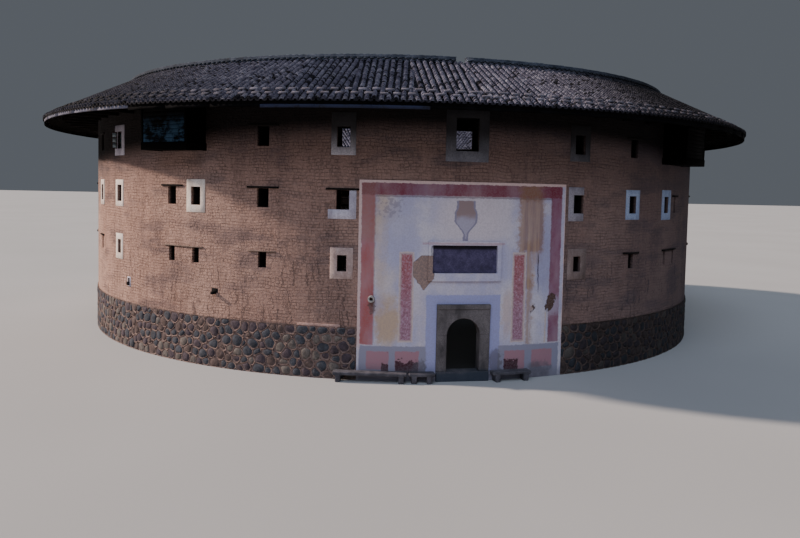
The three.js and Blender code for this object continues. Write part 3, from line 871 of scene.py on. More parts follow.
class PanelPaint(Wiring):
    """Weathered limewash with painted bands, laid out by angle and height."""

    FIELD = ((-13.75, 14.6), (-1.0, 8.7))
    BORDER = "d2b6b1"
    PALE = Blot((1.0, 7.2), (5.0, 1.2), "ccc1c8", soft=0.9)
    STAINS = (
        Blot((-10.2, 2.7), (1.7, 1.1), "b5946c", 0.75),
        Blot((-11.2, 6.4), (1.0, 2.2), "c2a88e", 0.5),
        Blot((-10.6, 7.6), (1.6, 0.7), "bda792", 0.4),
        Blot((6.1, 3.0), (0.7, 1.0), "bf9c86", 0.4),
        Blot((-10.0, 4.4), (1.6, 0.8), "c6b09a", 0.3),
        Blot((11.4, 5.6), (1.3, 1.7), "8f90b4", 0.75),
        Blot((-8.6, 6.4), (2.4, 1.6), "9b9cbd", 0.5),
        Blot((-6.0, 3.0), (1.0, 1.4), "c3b4ba", 0.35),
    )
    OCHRE = ("7f5c4c", "ab8c72")
    OCHRE_RUNS = (
        ((7.5, 11.3), (5.75, 8.3), 0.8, (0.25, 0.42, (0.35, 1.0))),
        ((8.3, 9.9), (4.1, 6.2), 0.8, (0.3, 0.55, (0.1, 1.0))),
        ((8.75, 9.75), (1.5, 4.6), 0.75, (0.3, 0.55, (0.1, 1.0))),
        ((9.9, 10.9), (5.2, 6.4), 0.45, (0.3, 0.55, (0.1, 1.0))),
    )
    BANDS = (
        Field((-13.75, -12.0), (1.6, 8.7), "9f5452"),
        Field((12.4, 14.1), (1.6, 8.7), "7d4159"),
        Field((-13.75, 14.1), (8.17, 8.72), "712639"),
    )
    # Dark lines along the bands' inner edges, the one under the top band a painted shadow of the raised band,
    # then worn and stained patches and a light line
    BAND_EDGES = (
        Field((-12.01, -11.89), (1.6, 8.15), "6d5a5c", 0.35, 0.02),
        Field((12.49, 12.61), (1.6, 8.15), "6d5a5c", 0.35, 0.02),
        Field((-11.9, 12.6), (8.1, 8.16), "5a4a50", 0.6, 0.02),
        Field((-14.4, -11.8), (6.2, 9.0), "8f7068", 0.45, 0.2, True),
        Field((7.7, 10.9), (8.1, 8.8), "83604c", 0.9, 0.2, True),
        Field((12.2, 14.2), (2.9, 3.7), "a99fb0", 0.7, 0.2, True),
        Field((11.85, 12.05), (1.6, 3.0), "c9b098", 0.7, 0.03),
    )
    COUPLETS = (((-8.38, -7.05), (1.86, 5.62)), ((7.0, 8.4), (1.8, 5.62)))
    COUPLET_RIMS = ((0.32, 0.12, "cbb4a8", 0.75, 0.02), (0.16, 0.06, "a98f92", 0.8, 0.015))
    DOOR_BAND = Field((-5.05, 5.1), (0.41, 3.86), "9a9bc4", soft=0.03)
    DADO = Field((-13.8, 14.2), (0.0, 1.56), "8c8a9c", soft=0.03)
    PINKS = (
        ((-12.8, -9.85), (0.5, 1.32)),
        ((-9.0, -5.9), (0.42, 1.34)),
        ((5.85, 8.9), (0.38, 1.31)),
        ((9.97, 13.2), (0.49, 1.31)),
    )
    UNDERCOAT = "46262f"
    FLAKES = (((-8.98, -5.95), (0.3, 0.84)), ((5.8, 7.9), (0.3, 0.9)), ((-10.8, -9.85), (0.4, 0.72)))
    SPLASHES = ((-11.0, -5.5), (0.6, 1.4))
    FOOT_STAINS = (
        Blot((11.2, 0.35), (1.8, 0.42), "57525a", 0.7, 0.6),
        Blot((4.6, 0.75), (0.9, 0.65), "57525a", 0.7, 0.6),
        Blot((-5.8, 0.5), (0.9, 0.4), "57525a", 0.7, 0.6),
    )
    # A line over the frame, a painted highlight on the lit foot of the recess, and painted shadow along its
    # top and left side
    TABLET_LIGHT_AND_SHADE = (
        Field((-5.7, 5.5), (6.07, 6.17), "b08e98", 0.6, 0.015),
        Field((-4.3, 4.1), (4.82, 4.9), "c9b9a8", 0.8, 0.015),
        Field((-4.5, 4.2), (5.95, 6.04), "3c3945", 0.75, 0.015),
        Field((-4.6, -4.36), (4.9, 6.0), "5a5560", 0.6, 0.015),
    )
    SCROLLS = ((-11.6, -8.4), (7.25, 8.1))
    HOLE = Blot((12.65, 3.46), (0.7, 0.4), "4e382f", soft=0.1, lean=0.7)
    CHIP = Blot((9.9, 3.2), (0.28, 0.1), "4e382f", soft=0.2)
    BELOW_PORT = Blot((-12.1, 3.3), (0.35, 0.3), "5f4c49", 0.75, 0.5)

    def __init__(self, name: str) -> None:
        """Starts the material with its worn angles and heights.

        Args:
            name: Name of the material.
        """
        super().__init__(name)
        angle = self.math("DEGREES", self.turn())
        wobble = self.math("SUBTRACT", self.noise(5.0, detail=6.0, roughness=0.7), 0.5)
        self.worn_angle = self.math("ADD", angle, self.times(wobble, 0.45))
        self.worn_height = self.math("ADD", self.height, self.times(wobble, 0.16))
        self.ragged_angle = self.math("ADD", angle, self.times(wobble, 2.2))
        self.ragged_height = self.math("ADD", self.height, self.times(wobble, 0.8))
        self.clouds = self.noise(0.8, detail=5.0, roughness=0.6)
        self.fine = self.noise(14.0, detail=5.0, roughness=0.7)
        self.color = self.limewash()

    def painted(self) -> Material:
        """Paints the panel.

        Returns:
            Its material.
        """
        self.stains()
        self.bands()
        self.couplets()
        self.foot()
        self.lantern_scar()
        self.outlines()
        lost = self.damage()
        relief = self.bump(self.clouds, 0.03)
        relief = self.bump(self.fine, 0.006, relief)
        relief = self.bump(self.math("SUBTRACT", 1.0, lost), 0.04, relief)
        return self.finish(self.color, self.step(self.clouds, 0.3, 0.7, to=(0.82, 0.95)), relief, 0.25)

    def lay(self, code: str, mask: Value, amount: float = 1.0) -> None:
        """Lays a colour over what is there."""
        self.color = self.coat(self.color, code, mask, amount)

    def window(self, angles: Span, heights: Span, soft: float = 0.04, ragged: bool = False) -> Socket:
        """Gives a mask that is 1 inside a field.

        Args:
            angles: Its sides in degrees.
            heights: Its foot and top.
            soft: Width of its edge in metres.
            ragged: Whether its edge is broken rather than painted.

        Returns:
            The mask.
        """
        worn, torn = (self.worn_angle, self.worn_height), (self.ragged_angle, self.ragged_height)
        angle, height = torn if ragged else worn
        mask = 1.0
        for value, (low, high), edge in ((angle, angles, soft * 3), (height, heights, soft)):
            rise = self.step(value, low - edge, low + edge)
            fall = self.step(value, high + edge, high - edge)
            mask = self.times(mask, self.times(rise, fall))
        return mask

    def fill(self, painted: Field, within: Value | None = None) -> None:
        """Paints a field, kept to a mask."""
        mask = self.window(painted.angles, painted.heights, painted.soft, painted.ragged)
        self.lay(painted.code, mask if within is None else self.times(mask, within), painted.amount)

    def spot(self, blot: Blot) -> Socket:
        """Gives a mask that is 1 inside a broken oval.

        Args:
            blot: The oval.

        Returns:
            The mask.
        """
        up = self.math("SUBTRACT", self.ragged_height, blot.middle[1])
        upright = self.math("MULTIPLY_ADD", up, blot.lean, blot.middle[0])
        side = self.math("SUBTRACT", self.ragged_angle, upright)
        shares = (self.math("DIVIDE", value, size) for value, size in zip((side, up), blot.half))
        parts = [self.math("POWER", self.math("ABSOLUTE", share), 2.6) for share in shares]
        return self.step(self.math("ADD", *parts), 1.0 + blot.soft, 1.0 - blot.soft)

    def blotch(self, blot: Blot, within: Value | None = None) -> None:
        """Stains the panel with a broken oval, kept to a mask."""
        mask = self.spot(blot)
        self.lay(blot.code, mask if within is None else self.times(mask, within), blot.amount)

    def limewash(self) -> Socket:
        """Gives the limewash with its clouds and streaks.

        Returns:
            Its colour.
        """
        streaks = self.noise(1.6, (1.0, 1.0, 0.12), detail=6.0, roughness=0.65)
        color = self.mix(self.step(self.clouds, 0.35, 0.65), paint("adaac4"), paint("c9c2cc"))
        return self.coat(color, "d2c9ce", self.step(streaks, 0.5, 0.72, to=(0.0, 0.5)))

    def stains(self) -> None:
        """Stains the limewash and lets the broken wall above run down it."""
        self.blotch(self.PALE)
        for stain in self.STAINS:
            self.blotch(stain, self.step(self.clouds, 0.25, 0.55))
        streaks = self.noise(3.2, (1.0, 1.0, 0.05), detail=5.0, roughness=0.7)
        ochre = self.mix(self.step(streaks, 0.35, 0.65), *(paint(code) for code in self.OCHRE))
        for angles, heights, amount, streaked in self.OCHRE_RUNS:
            mask = self.times(self.window(angles, heights, 0.14, True), self.step(streaks, *streaked))
            self.color = self.mix(self.times(mask, amount), self.color, ochre)

    def bands(self) -> None:
        """Paints the red bands, their edges with a painted shadow under the top band, and what has worn off
        them.
        """
        faded = self.step(self.noise(1.3, (1.0, 1.0, 0.4), detail=5.0), 0.3, 0.75, to=(0.98, 0.72))
        for band in self.BANDS:
            self.fill(band, faded)
        for edge in self.BAND_EDGES:
            self.fill(edge)

    def couplets(self) -> None:
        """Paints the two upright strips beside the door, which are bare."""
        mottle = self.noise(11.0, detail=5.0, roughness=0.7)
        red = self.mix(self.step(self.height, 2.5, 5.4), paint("9c7082"), paint("a05c60"))
        red = self.coat(red, "b39aac", self.step(mottle, 0.48, 0.62, to=(0.0, 0.6)))
        red = self.coat(red, "6b434f", self.step(mottle, 0.5, 0.36, to=(0.0, 0.55)))
        for (left, right), (low, high) in self.COUPLETS:
            for aside, above, *laid in self.COUPLET_RIMS:
                self.fill(Field((left - aside, right + aside), (low - above, high + above), *laid))
            self.color = self.mix(self.window((left, right), (low, high), 0.02), self.color, red)

    def foot(self) -> None:
        """Paints the band round the door and the dado, with its flakes, splashes and damp."""
        self.fill(self.DOOR_BAND)
        self.fill(self.DADO, self.step(self.math("ABSOLUTE", self.worn_angle), 4.8, 5.1))
        for pink in self.PINKS:
            self.fill(Field(*pink, "a5737c", 0.85, 0.03))
        lost = self.math("MULTIPLY_ADD", self.noise(2.4, detail=4.0, roughness=0.65), 0.7, -0.35)
        for angles, (low, high) in self.FLAKES:
            top = self.math("ADD", self.math("SUBTRACT", self.worn_height, high), lost)
            mask = self.window(angles, (low, high + 0.4), 0.02)
            self.lay(self.UNDERCOAT, self.times(mask, self.step(top, 0.03, -0.03)))
        specks = self.step(self.noise(5.5, detail=2.0), 0.7, 0.73)
        self.lay(self.UNDERCOAT, self.times(specks, self.window(*self.SPLASHES, 0.1)))
        darkening = self.step(self.math("ADD", self.height, self.clouds), 1.35, 0.45)
        self.lay("6b676c", darkening, 0.6)
        for stain in self.FOOT_STAINS:
            self.blotch(stain, self.step(self.clouds, 0.3, 0.5))

    def lantern(self, grow: float) -> Socket:
        """Gives the mask of the lantern-shaped scar.

        Args:
            grow: Degrees that it is grown by.

        Returns:
            The mask.
        """
        width = self.step(self.worn_height, 6.5, 7.15, to=(0.2 + grow, 1.4 + grow))
        neck = self.step(self.worn_height, 7.45, 7.7, to=(0.0, 0.3))
        reach = self.math("SUBTRACT", width, neck)
        inside = self.math("SUBTRACT", reach, self.math("ABSOLUTE", self.worn_angle))
        over_foot = self.step(self.worn_height, 6.3 - grow / 3, 6.34 - grow / 3)
        tall = self.times(over_foot, self.step(self.worn_height, 8.02, 7.97))
        return self.times(self.step(inside, 0.0, 0.1), tall)

    def lantern_scar(self) -> None:
        """Paints the lantern-shaped scar over the tablet, with its rim."""
        self.lay("8a8499", self.lantern(0.22))
        tan = self.step(self.math("MULTIPLY_ADD", self.clouds, 1.4, self.height), 7.7, 8.2)
        scar = self.mix(tan, paint("a8a2b4"), paint("917c7c"))
        self.color = self.mix(self.lantern(-0.05), self.color, scar)

    def outlines(self) -> None:
        """Paints a line over the tablet's frame, painted light and shade round the tablet, the faint scrolls
        and the panel's border.
        """
        for line in self.TABLET_LIGHT_AND_SHADE:
            self.fill(line)
        scrolls = self.step(self.noise(7.0, detail=1.0), 0.52, 0.56)
        self.lay("77727e", self.times(scrolls, self.window(*self.SCROLLS, 0.1, True)), 0.45)
        border = self.math("SUBTRACT", 1.0, self.window(*self.FIELD, 0.02))
        self.lay(self.BORDER, self.times(border, self.step(self.height, 1.3, 1.7)))

    def damage(self) -> Socket:
        """Breaks the plaster: a bare patch, a hole, a chip and a crack, with dirt below the port.

        Returns:
            Where plaster is lost, from 0 to 1.
        """
        bare = self.bare_patch()
        earth = self.mix(self.step(self.fine, 0.4, 0.6), paint("7c675f"), paint("9a8178"))
        self.color = self.mix(bare, self.color, earth)
        hole, chip = self.spot(self.HOLE), self.spot(self.CHIP)
        self.lay(self.HOLE.code, hole)
        self.lay(self.CHIP.code, chip)
        line = self.math("SUBTRACT", self.worn_angle, self.math("MULTIPLY_ADD", self.height, -0.1, 11.1))
        stretch = self.times(self.step(self.height, 3.6, 4.6), self.step(self.height, 5.8, 5.5))
        crack = self.times(self.step(self.math("ABSOLUTE", line), 0.09, 0.0), stretch)
        self.lay("4a4045", crack)
        self.blotch(self.BELOW_PORT)
        self.lay("8a7f84", self.step(self.fine, 0.58, 0.4, to=(0.0, 0.22)))
        return self.math("MAXIMUM", self.math("MAXIMUM", bare, hole), self.math("MAXIMUM", chip, crack))

    def bare_patch(self) -> Socket:
        """Gives the pointed patch left of the tablet where the limewash has come off.

        Returns:
            The patch's mask.
        """
        aside = self.math("ABSOLUTE", self.math("ADD", self.worn_angle, 5.4))
        foot = self.math("SUBTRACT", self.worn_height, self.math("MULTIPLY_ADD", aside, 0.42, 4.06))
        left = self.math("MAXIMUM", self.math("SUBTRACT", -5.8, self.worn_angle), 0.0)
        top = self.math("ADD", self.worn_height, self.math("MULTIPLY_ADD", left, 0.3, -5.58))
        bare = self.times(self.step(foot, -0.02, 0.02), self.step(top, 0.02, -0.02))
        return self.times(bare, self.window((-6.85, -4.14), (3.9, 5.8), 0.02))


@dataclass(frozen=True)
class Painted:
    """A finish with a painter of its own."""

    painter: type[Wiring]

    def make(self, name: str) -> Material:
        """Makes the material."""
        return self.painter(name).painted()


@dataclass(frozen=True)
class Glazing:
    """Old window glass, its colour painted: a dark room behind the dark panes, the sky's reflection on the
    pale ones.
    """

    tint: str
    light: str

    def make(self, name: str) -> Material:
        """Makes the material.

        Args:
            name: Name of the material.

        Returns:
            The material.
        """
        wiring = Wiring(name)
        ripple = wiring.noise(3.0, detail=2.0)
        color = wiring.mix(wiring.step(ripple, 0.3, 0.7), paint(self.tint), paint(self.light))
        rough = wiring.step(ripple, 0.3, 0.7, to=(0.08, 0.2))
        return wiring.finish(color, rough, wiring.bump(ripple, 0.004), 0.6)


# Where the painted shade starts and ends on the right of what is shaded early
EARLY_RIGHT = (0.02, 0.55)

# Sizes that several finishes share
# The cobbles darken towards the right of the gate side: painted shade
cobble = partial(Mottled, spots=4.0, grain=26.0, depth=0.01, flanks=(0.0, 0.68), right=(0.08, 0.4))
roof_tile = partial(Mottled, spots=1.6, grain=24.0, shine=0.1)
limewash = partial(Mottled, spots=1.8, grain=16.0, roughness=0.85, stretch=(1.0, 1.0, 0.4))
radial_board = partial(Grained, stretch=(4.0, 4.0, 12.0))


class Finish(Enum):
    """The finishes of the house, each with its middle, dark and light colour."""

    EARTH = Painted(EarthPaint)
    MORTAR = cobble("77625c", "574843", "8d776e", spots=3.0, grain=24.0, depth=0.012)
    STONE_SLATE = cobble("3b3d44", "27282e", "505259")
    STONE_BROWN = cobble("544541", "3a302d", "6b5a55")
    STONE_TAN = cobble("605853", "453f3c", "766d67")
    STONE_PLUM = cobble("44393f", "2e272b", "5a4e54")
    GRANITE = Mottled("5b5556", "393638", "746d6e", spots=1.6, grain=32.0, depth=0.008, roughness=0.8,
                      stretch=(1.0, 1.0, 0.5), foot="2a3442")
    BENCH = Mottled("4c494f", "333137", "67636a", spots=2.2, depth=0.01)
    # The tablet's top is darker: the painted shadow of its frame
    TABLET = Mottled("463f5c", "332e45", "58506e", spots=3.5, grain=18.0, depth=0.008, ledge_shadow=5.98)
    PORT = Mottled("9a9490", "746f6c", "b5aeaa", spots=3.0, grain=24.0, depth=0.008)
    # Tiles, ridge and bricks darken towards the flanks of the gate side: painted shade
    TILE_DARK = roof_tile("1f1e23", "131316", "302e35", flanks=(0.55, 0.9), right=EARLY_RIGHT)
    TILE_GREY = roof_tile("565362", "3b3942", "6f6c79", flanks=(0.7, 0.92), right=EARLY_RIGHT)
    TILE_PALE = roof_tile("6d6b79", "4d4a54", "8a8791", spots=1.8, flanks=(0.75, 0.92), right=EARLY_RIGHT)
    RIDGE = roof_tile("424854", "2a2e36", "5a606c", flanks=(0.4, 0.7))
    BRICK = roof_tile("5e5b64", "434048", "7b7882", spots=3.0, depth=0.008, flanks=(0.95, 0.5))
    # The washes darken towards the flanks and under the eave as painted shade; the palest is the limewash
    # painted as in sunlight, the two greys are it painted as in shade
    WHITE_WASH = limewash("b5aebb", "928a95", "cdc7d2", flanks=(0.0, 0.85), right=EARLY_RIGHT, eave_shade=0.35)
    CREAM_WASH = limewash("ad9690", "8c7670", "c3aea7", flanks=(0.0, 1.0), right=EARLY_RIGHT)
    CHALK_WASH = limewash("dccdc2", "b5a79e", "eadfd6")
    BLUE_WASH = limewash("919ebb", "74809c", "adb8d0")
    SHADE_WASH = limewash("9a97a0", "78757e", "b3b0b8", flanks=(0.0, 0.8), eave_shade=0.95)
    DUSK_WASH = limewash("63636d", "4b4b54", "787882", flanks=(0.0, 0.9), right=EARLY_RIGHT, eave_shade=0.9)
    TIMBER = Grained("46362c", "281e19", "63503f")
    DARK_TIMBER = Grained("1b1716", "0e0c0c", "2b2523", shine=0.1)
    # Near black for the lookouts' framing and boxes: painted shade
    CHARRED = Grained("0a0909", "060505", "100f0f", shine=0.02)
    RADIAL_TIMBER = radial_board("15110f", "0c0a09", "241e1b", stretch=(4.0, 4.0, 9.0), shine=0.05)
    FLOORING = Grained("57453a", "352821", "73604f", stretch=(6.0, 6.0, 9.0))
    # The lookouts' boards, darkening high up and towards the right: painted shade
    LIMED = Grained("090c11", "050608", "111920", stretch=(1.2, 1.2, 8.0), wash="31495f", worn=0.64,
                    flanks=(0.0, 1.0), shine=0.05, eave_shade_from=10.8)
    # The eave board in three copies, painted as sunlit, half-lit and in shade
    FASCIA = radial_board("736c6e", "5c5658", "827e88", wash="686878", worn=0.56)
    FADED_FASCIA = radial_board("2e2d34", "201f23", "383945", wash="2c3044", worn=0.56, shine=0.1)
    DARK_FASCIA = radial_board("0d0c0d", "080809", "161517", shine=0.02)
    PALE_TIMBER = Grained("76645a", "5a4b43", "948176")
    PANEL = Painted(PanelPaint)
    LEAF = Grained("3a2827", "241716", "55403c", stretch=(8.0, 8.0, 1.2), roughness=0.6)
    PINK_PATCH = Mottled("a3837a", "7e665f", "b8988e", spots=2.4, grain=20.0, depth=0.01)
    # Painted shade of a dark room in the closed panes, a painted reflection of the sky in the open leaf's
    # panes
    GLASS = Glazing("1d3038", "35525a")
    PALE_GLASS = Glazing("6d7a82", "8c989d")

    def material(self) -> Material:
        """Gives the finish's material and makes it on its first use."""
        name = f"finish_{self.name.lower()}"
        return bpy.data.materials.get(name) or self.value.make(name)


class NodeLooks:
    """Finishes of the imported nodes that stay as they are."""

    BY_PREFIX = (
        ("wall_", Finish.EARTH),
        ("plinth_", Finish.MORTAR),
        ("gate_", Finish.GRANITE),
        ("bench_", Finish.BENCH),
        ("gun_port", Finish.PORT),
        ("plaster_panel", Finish.PANEL),
        ("name_tablet", Finish.TABLET),
        ("floor_", Finish.FLOORING),
        ("gallery_posts", Finish.TIMBER),
        ("roof_frame", Finish.RADIAL_TIMBER),
        ("roof_", Finish.TILE_GREY),
        ("ridge", Finish.RIDGE),
        # The lookouts' boxes take the near-black finish: painted shade
        ("lookout_", Finish.CHARRED),
        ("open_casement", Finish.LEAF),
    )

    @classmethod
    def finish(cls, name: str) -> Finish:
        """Gives the finish of a node by its name."""
        return next(finish for prefix, finish in cls.BY_PREFIX if name.startswith(prefix))

    def dress(self, nodes: dict[str, bpy.types.Object]) -> None:
        """Puts each node's finish in its material slots.

        Args:
            nodes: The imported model's objects by name.
        """
        for name, node in nodes.items():
            finish = self.finish(name)
            for slot in node.material_slots:
                slot.material = finish.material()
            LOG.info("%s: %s", name, finish.name)


@dataclass
class WornStones:
    """Copies of the dressed stones with worn edges, in place of the sharp ones."""

    wear: tuple[tuple[str, float], ...] = (("gate_", 0.018), ("bench_", 0.03), ("gun_port", 0.01))
    weld: float = 0.0001
    flat: float = 1.0

    def build(self, nodes: dict[str, bpy.types.Object]) -> None:
        """Makes a worn copy of every stone node.

        Args:
            nodes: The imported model's objects by name.
        """
        for prefix, width in self.wear:
            for name in sorted(nodes):
                if name.startswith(prefix):
                    self.soften(name, nodes[name], width)

    def soften(self, name: str, node: bpy.types.Object, width: float) -> None:
        """Makes one worn copy.

        Args:
            name: The node's name.
            node: The node's object.
            width: Width of the worn edge.
        """
        mesh = node.data.copy()
        work = bmesh.new()
        work.from_mesh(mesh)
        bmesh.ops.remove_doubles(work, verts=work.verts, dist=self.weld)
        flat = math.radians(self.flat)
        bmesh.ops.dissolve_limit(work, angle_limit=flat, verts=work.verts, edges=work.edges)
        work.to_mesh(mesh)
        work.free()
        mesh.materials.clear()
        mesh.materials.append(NodeLooks.finish(name).material())
        mesh.polygons.foreach_set("material_index", np.zeros(len(mesh.polygons), dtype=np.int32))
        place(f"worn_{name}", mesh, "granite", bevel=width, replaces=(name,))


@dataclass(frozen=True)
class TileShape:
    """One kind of tile: its section and how a row of it is laid."""

    profile: np.ndarray
    lift: float
    course: float
    shares: Triple


@dataclass(frozen=True)
class Slope:
    """One slope of the roof, between two radii, and whether its eave is the outer one."""

    inner: float
    outer: float
    eave_out: bool


@dataclass
class RoofTiles:
    """Rows of overlapping tiles on both slopes."""

    row_pitch: float = 0.286
    cover_course: float = 0.115
    trough_course: float = 0.27
    sector: float = 7.5
    sector_start: float = 3.75
    cover_width: float = 0.186
    cover_height: float = 0.105
    cover_sides: int = 4
    step: float = 0.03
    tucked: float = -0.03
    bed: float = 0.115
    trough_rise: float = 0.035
    trough_tuck: float = 0.02
    seam_overlap: float = 0.12
    overhang: float = 0.04
    ridge_gap: float = 0.12
    uneven: float = 0.12
    sideways: float = 0.011
    lifted: Span = (-0.006, 0.008)
    cover_shares: Triple = (0.1, 0.5, 0.4)
    # Trough tiles all take the darkest finish: painted shade between the covering rows
    trough_shares: Triple = (1.0, 0.0, 0.0)
    seed: int = 11
    quarters: tuple[str, ...] = ("front", "right", "back", "left")

    @property
    def cover_lift(self) -> float:
        """Gives the foot of the covering tiles over the roof's underside."""
        return self.bed + self.trough_rise

    def build(self) -> None:
        """Lays the tiles of both slopes, in one piece for each quarter of each."""
        looks = (Finish.TILE_DARK, Finish.TILE_GREY, Finish.TILE_PALE)
        rng = np.random.default_rng(self.seed)
        ridge = FORM.ridge_radius
        slopes = {
            "outer": Slope(ridge + self.ridge_gap, FORM.eave_radius + self.overhang, True),
            "inner": Slope(FORM.inner_eave - self.overhang, ridge - self.ridge_gap, False),
        }
        for side, slope in slopes.items():
            for number, quarter in enumerate(self.quarters):
                pile = Pile()
                for sector in range(round(90 / self.sector)):
                    middle = 90 * number - 45 + self.sector_start + sector * self.sector
                    self.rows(pile, middle, slope, rng)
                pile.piece(f"tiles_{side}_{quarter}", looks, "tile", sharp=48.0)

    def shapes(self, pitch: float) -> tuple[TileShape, TileShape]:
        """Gives the covering tile and the trough tile.

        Args:
            pitch: Distance between two rows.

        Returns:
            Both tiles.
        """
        arch = np.linspace(math.pi, 0.0, self.cover_sides + 1)
        cover = np.stack([np.cos(arch) * self.cover_width / 2, np.sin(arch) * self.cover_height], axis=1)
        bed_half = pitch - self.cover_width / 2 + self.trough_tuck
        trough = np.array([(-bed_half / 2, self.trough_rise), (0.0, 0.0), (bed_half / 2, self.trough_rise)])
        return (TileShape(cover, self.cover_lift, self.cover_course, self.cover_shares),
                TileShape(trough, self.bed, self.trough_course, self.trough_shares))

    def rows(self, pile: Pile, middle: float, slope: Slope, rng: np.random.Generator) -> None:
        """Adds the rows of one sector of one slope.

        Args:
            pile: Where they are added.
            middle: Degrees to the sector's middle.
            slope: The slope.
            rng: Source of chance.
        """
        half = math.radians(self.sector / 2)
        reach = slope.outer * math.sin(half)
        count = round(2 * reach / self.row_pitch)
        pitch = 2 * reach / count
        shapes = self.shapes(pitch)
        for row in range(count):
            for shape, shift in zip(shapes, (0.25, 0.75)):
                offset = -reach + (row + shift) * pitch
                seam = abs(offset) / math.tan(half) - self.seam_overlap
                near = max(math.sqrt(max(slope.inner ** 2 - offset ** 2, 0.0)), seam)
                far = math.sqrt(slope.outer ** 2 - offset ** 2)
                if far - near >= shape.course:
                    path = (far, near) if slope.eave_out else (near, far)
                    self.strip(pile, middle, offset, path, shape, rng)

    def strip(
        self,
        pile: Pile,
        angle: float,
        offset: float,
        path: Span,
        shape: TileShape,
        rng: np.random.Generator,
    ) -> None:
        """Adds one row of overlapping tiles.

        Args:
            pile: Where it is added.
            angle: Degrees to the middle of the row's sector.
            offset: Distance of the row from the sector's middle.
            path: Distance out at its low end and at its high end.
            shape: Kind of tile.
            rng: Source of chance.
        """
        low, high = path
        run = shape.course * FORM.pitch
        tiles = max(1, round(abs(high - low) / run))
        ends = np.linspace(low, high, tiles + 1)
        ends[1:-1] += rng.uniform(-self.uneven, self.uneven, tiles - 1) * run
        shift = np.repeat(rng.normal(0.0, self.sideways, tiles), 2)
        raised = np.tile([self.step, 0.0], tiles) + np.repeat(rng.uniform(*self.lifted, tiles), 2)
        looks = np.repeat(rng.choice(3, tiles, p=shape.shares), 2)

        out = np.concatenate([[low], np.stack([ends[:-1], ends[1:]], axis=1).ravel()])
        shift = np.concatenate([[shift[0]], shift])
        raised = np.concatenate([[self.tucked], raised])
        profile = shape.profile[::-1] if high > low else shape.profile
        across = offset + profile[None, :, 0] + shift[:, None]
        radius = np.hypot(across, out[:, None])
        height = FORM.roof_at(radius) + shape.lift + profile[None, :, 1] + raised[:, None]
        pile.grid(beside(angle, across, out[:, None], height), looks)
        if profile[0, 1] < profile[len(profile) // 2, 1]:
            rim = beside(angle, across[1], out[1], height[1])
            pile.add(rim, np.arange(len(rim))[None, ::-1], int(looks[0]))


@dataclass
class RoofBoards:
    """Boards and rafters under the tiles."""

    foot: float = 0.09
    top: float = 0.11
    inset: Span = (0.02, 0.03)
    steps: int = 128
    halves: tuple[tuple[str, Span], ...] = (("right", (-5.625, 174.375)), ("left", (174.375, 354.375)))
    outer_rafters: int = 384
    inner_rafters: int = 288
    rafter_sides: Span = (-0.05, 0.05)
    rafter_heights: Span = (0.0, 0.09)

    def build(self) -> None:
        """Builds the boards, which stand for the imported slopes, and the rafters."""
        inner, outer = FORM.inner_eave + self.inset[0], FORM.eave_radius - self.inset[1]
        path = (inner, FORM.ridge_radius, outer)
        section = [(radius, FORM.roof_at(radius) + self.foot) for radius in path]
        section += [(radius, FORM.roof_at(radius) + self.top) for radius in reversed(path)]
        for side, (start, end) in self.halves:
            pile = Pile()
            pile.sweep(section, np.linspace(start, end, self.steps + 1))
            nodes = (f"roof_outer_{side}", f"roof_inner_{side}")
            pile.piece(f"roof_boards_{side}", [Finish.RADIAL_TIMBER], "timber", replaces=nodes)

        pile = Pile()
        ridge = FORM.ridge_radius
        for count, path in (
            (self.outer_rafters, (ridge - 0.05, FORM.eave_radius - 0.06)),
            (self.inner_rafters, (FORM.inner_eave + 0.06, ridge)),
        ):
            pile.bars(ring(count), self.rafter_sides, path, self.rafter_heights, FORM.roof_at)
        pile.piece("rafters", [Finish.RADIAL_TIMBER], "timber")


@dataclass(frozen=True)
class BoardFace:
    """One kind of eave board: number of its look, a sunlit, half-lit or shaded copy of one finish, where it
    lies and its heights over the slope.
    """

    look: int
    angles: Span
    heights: Span


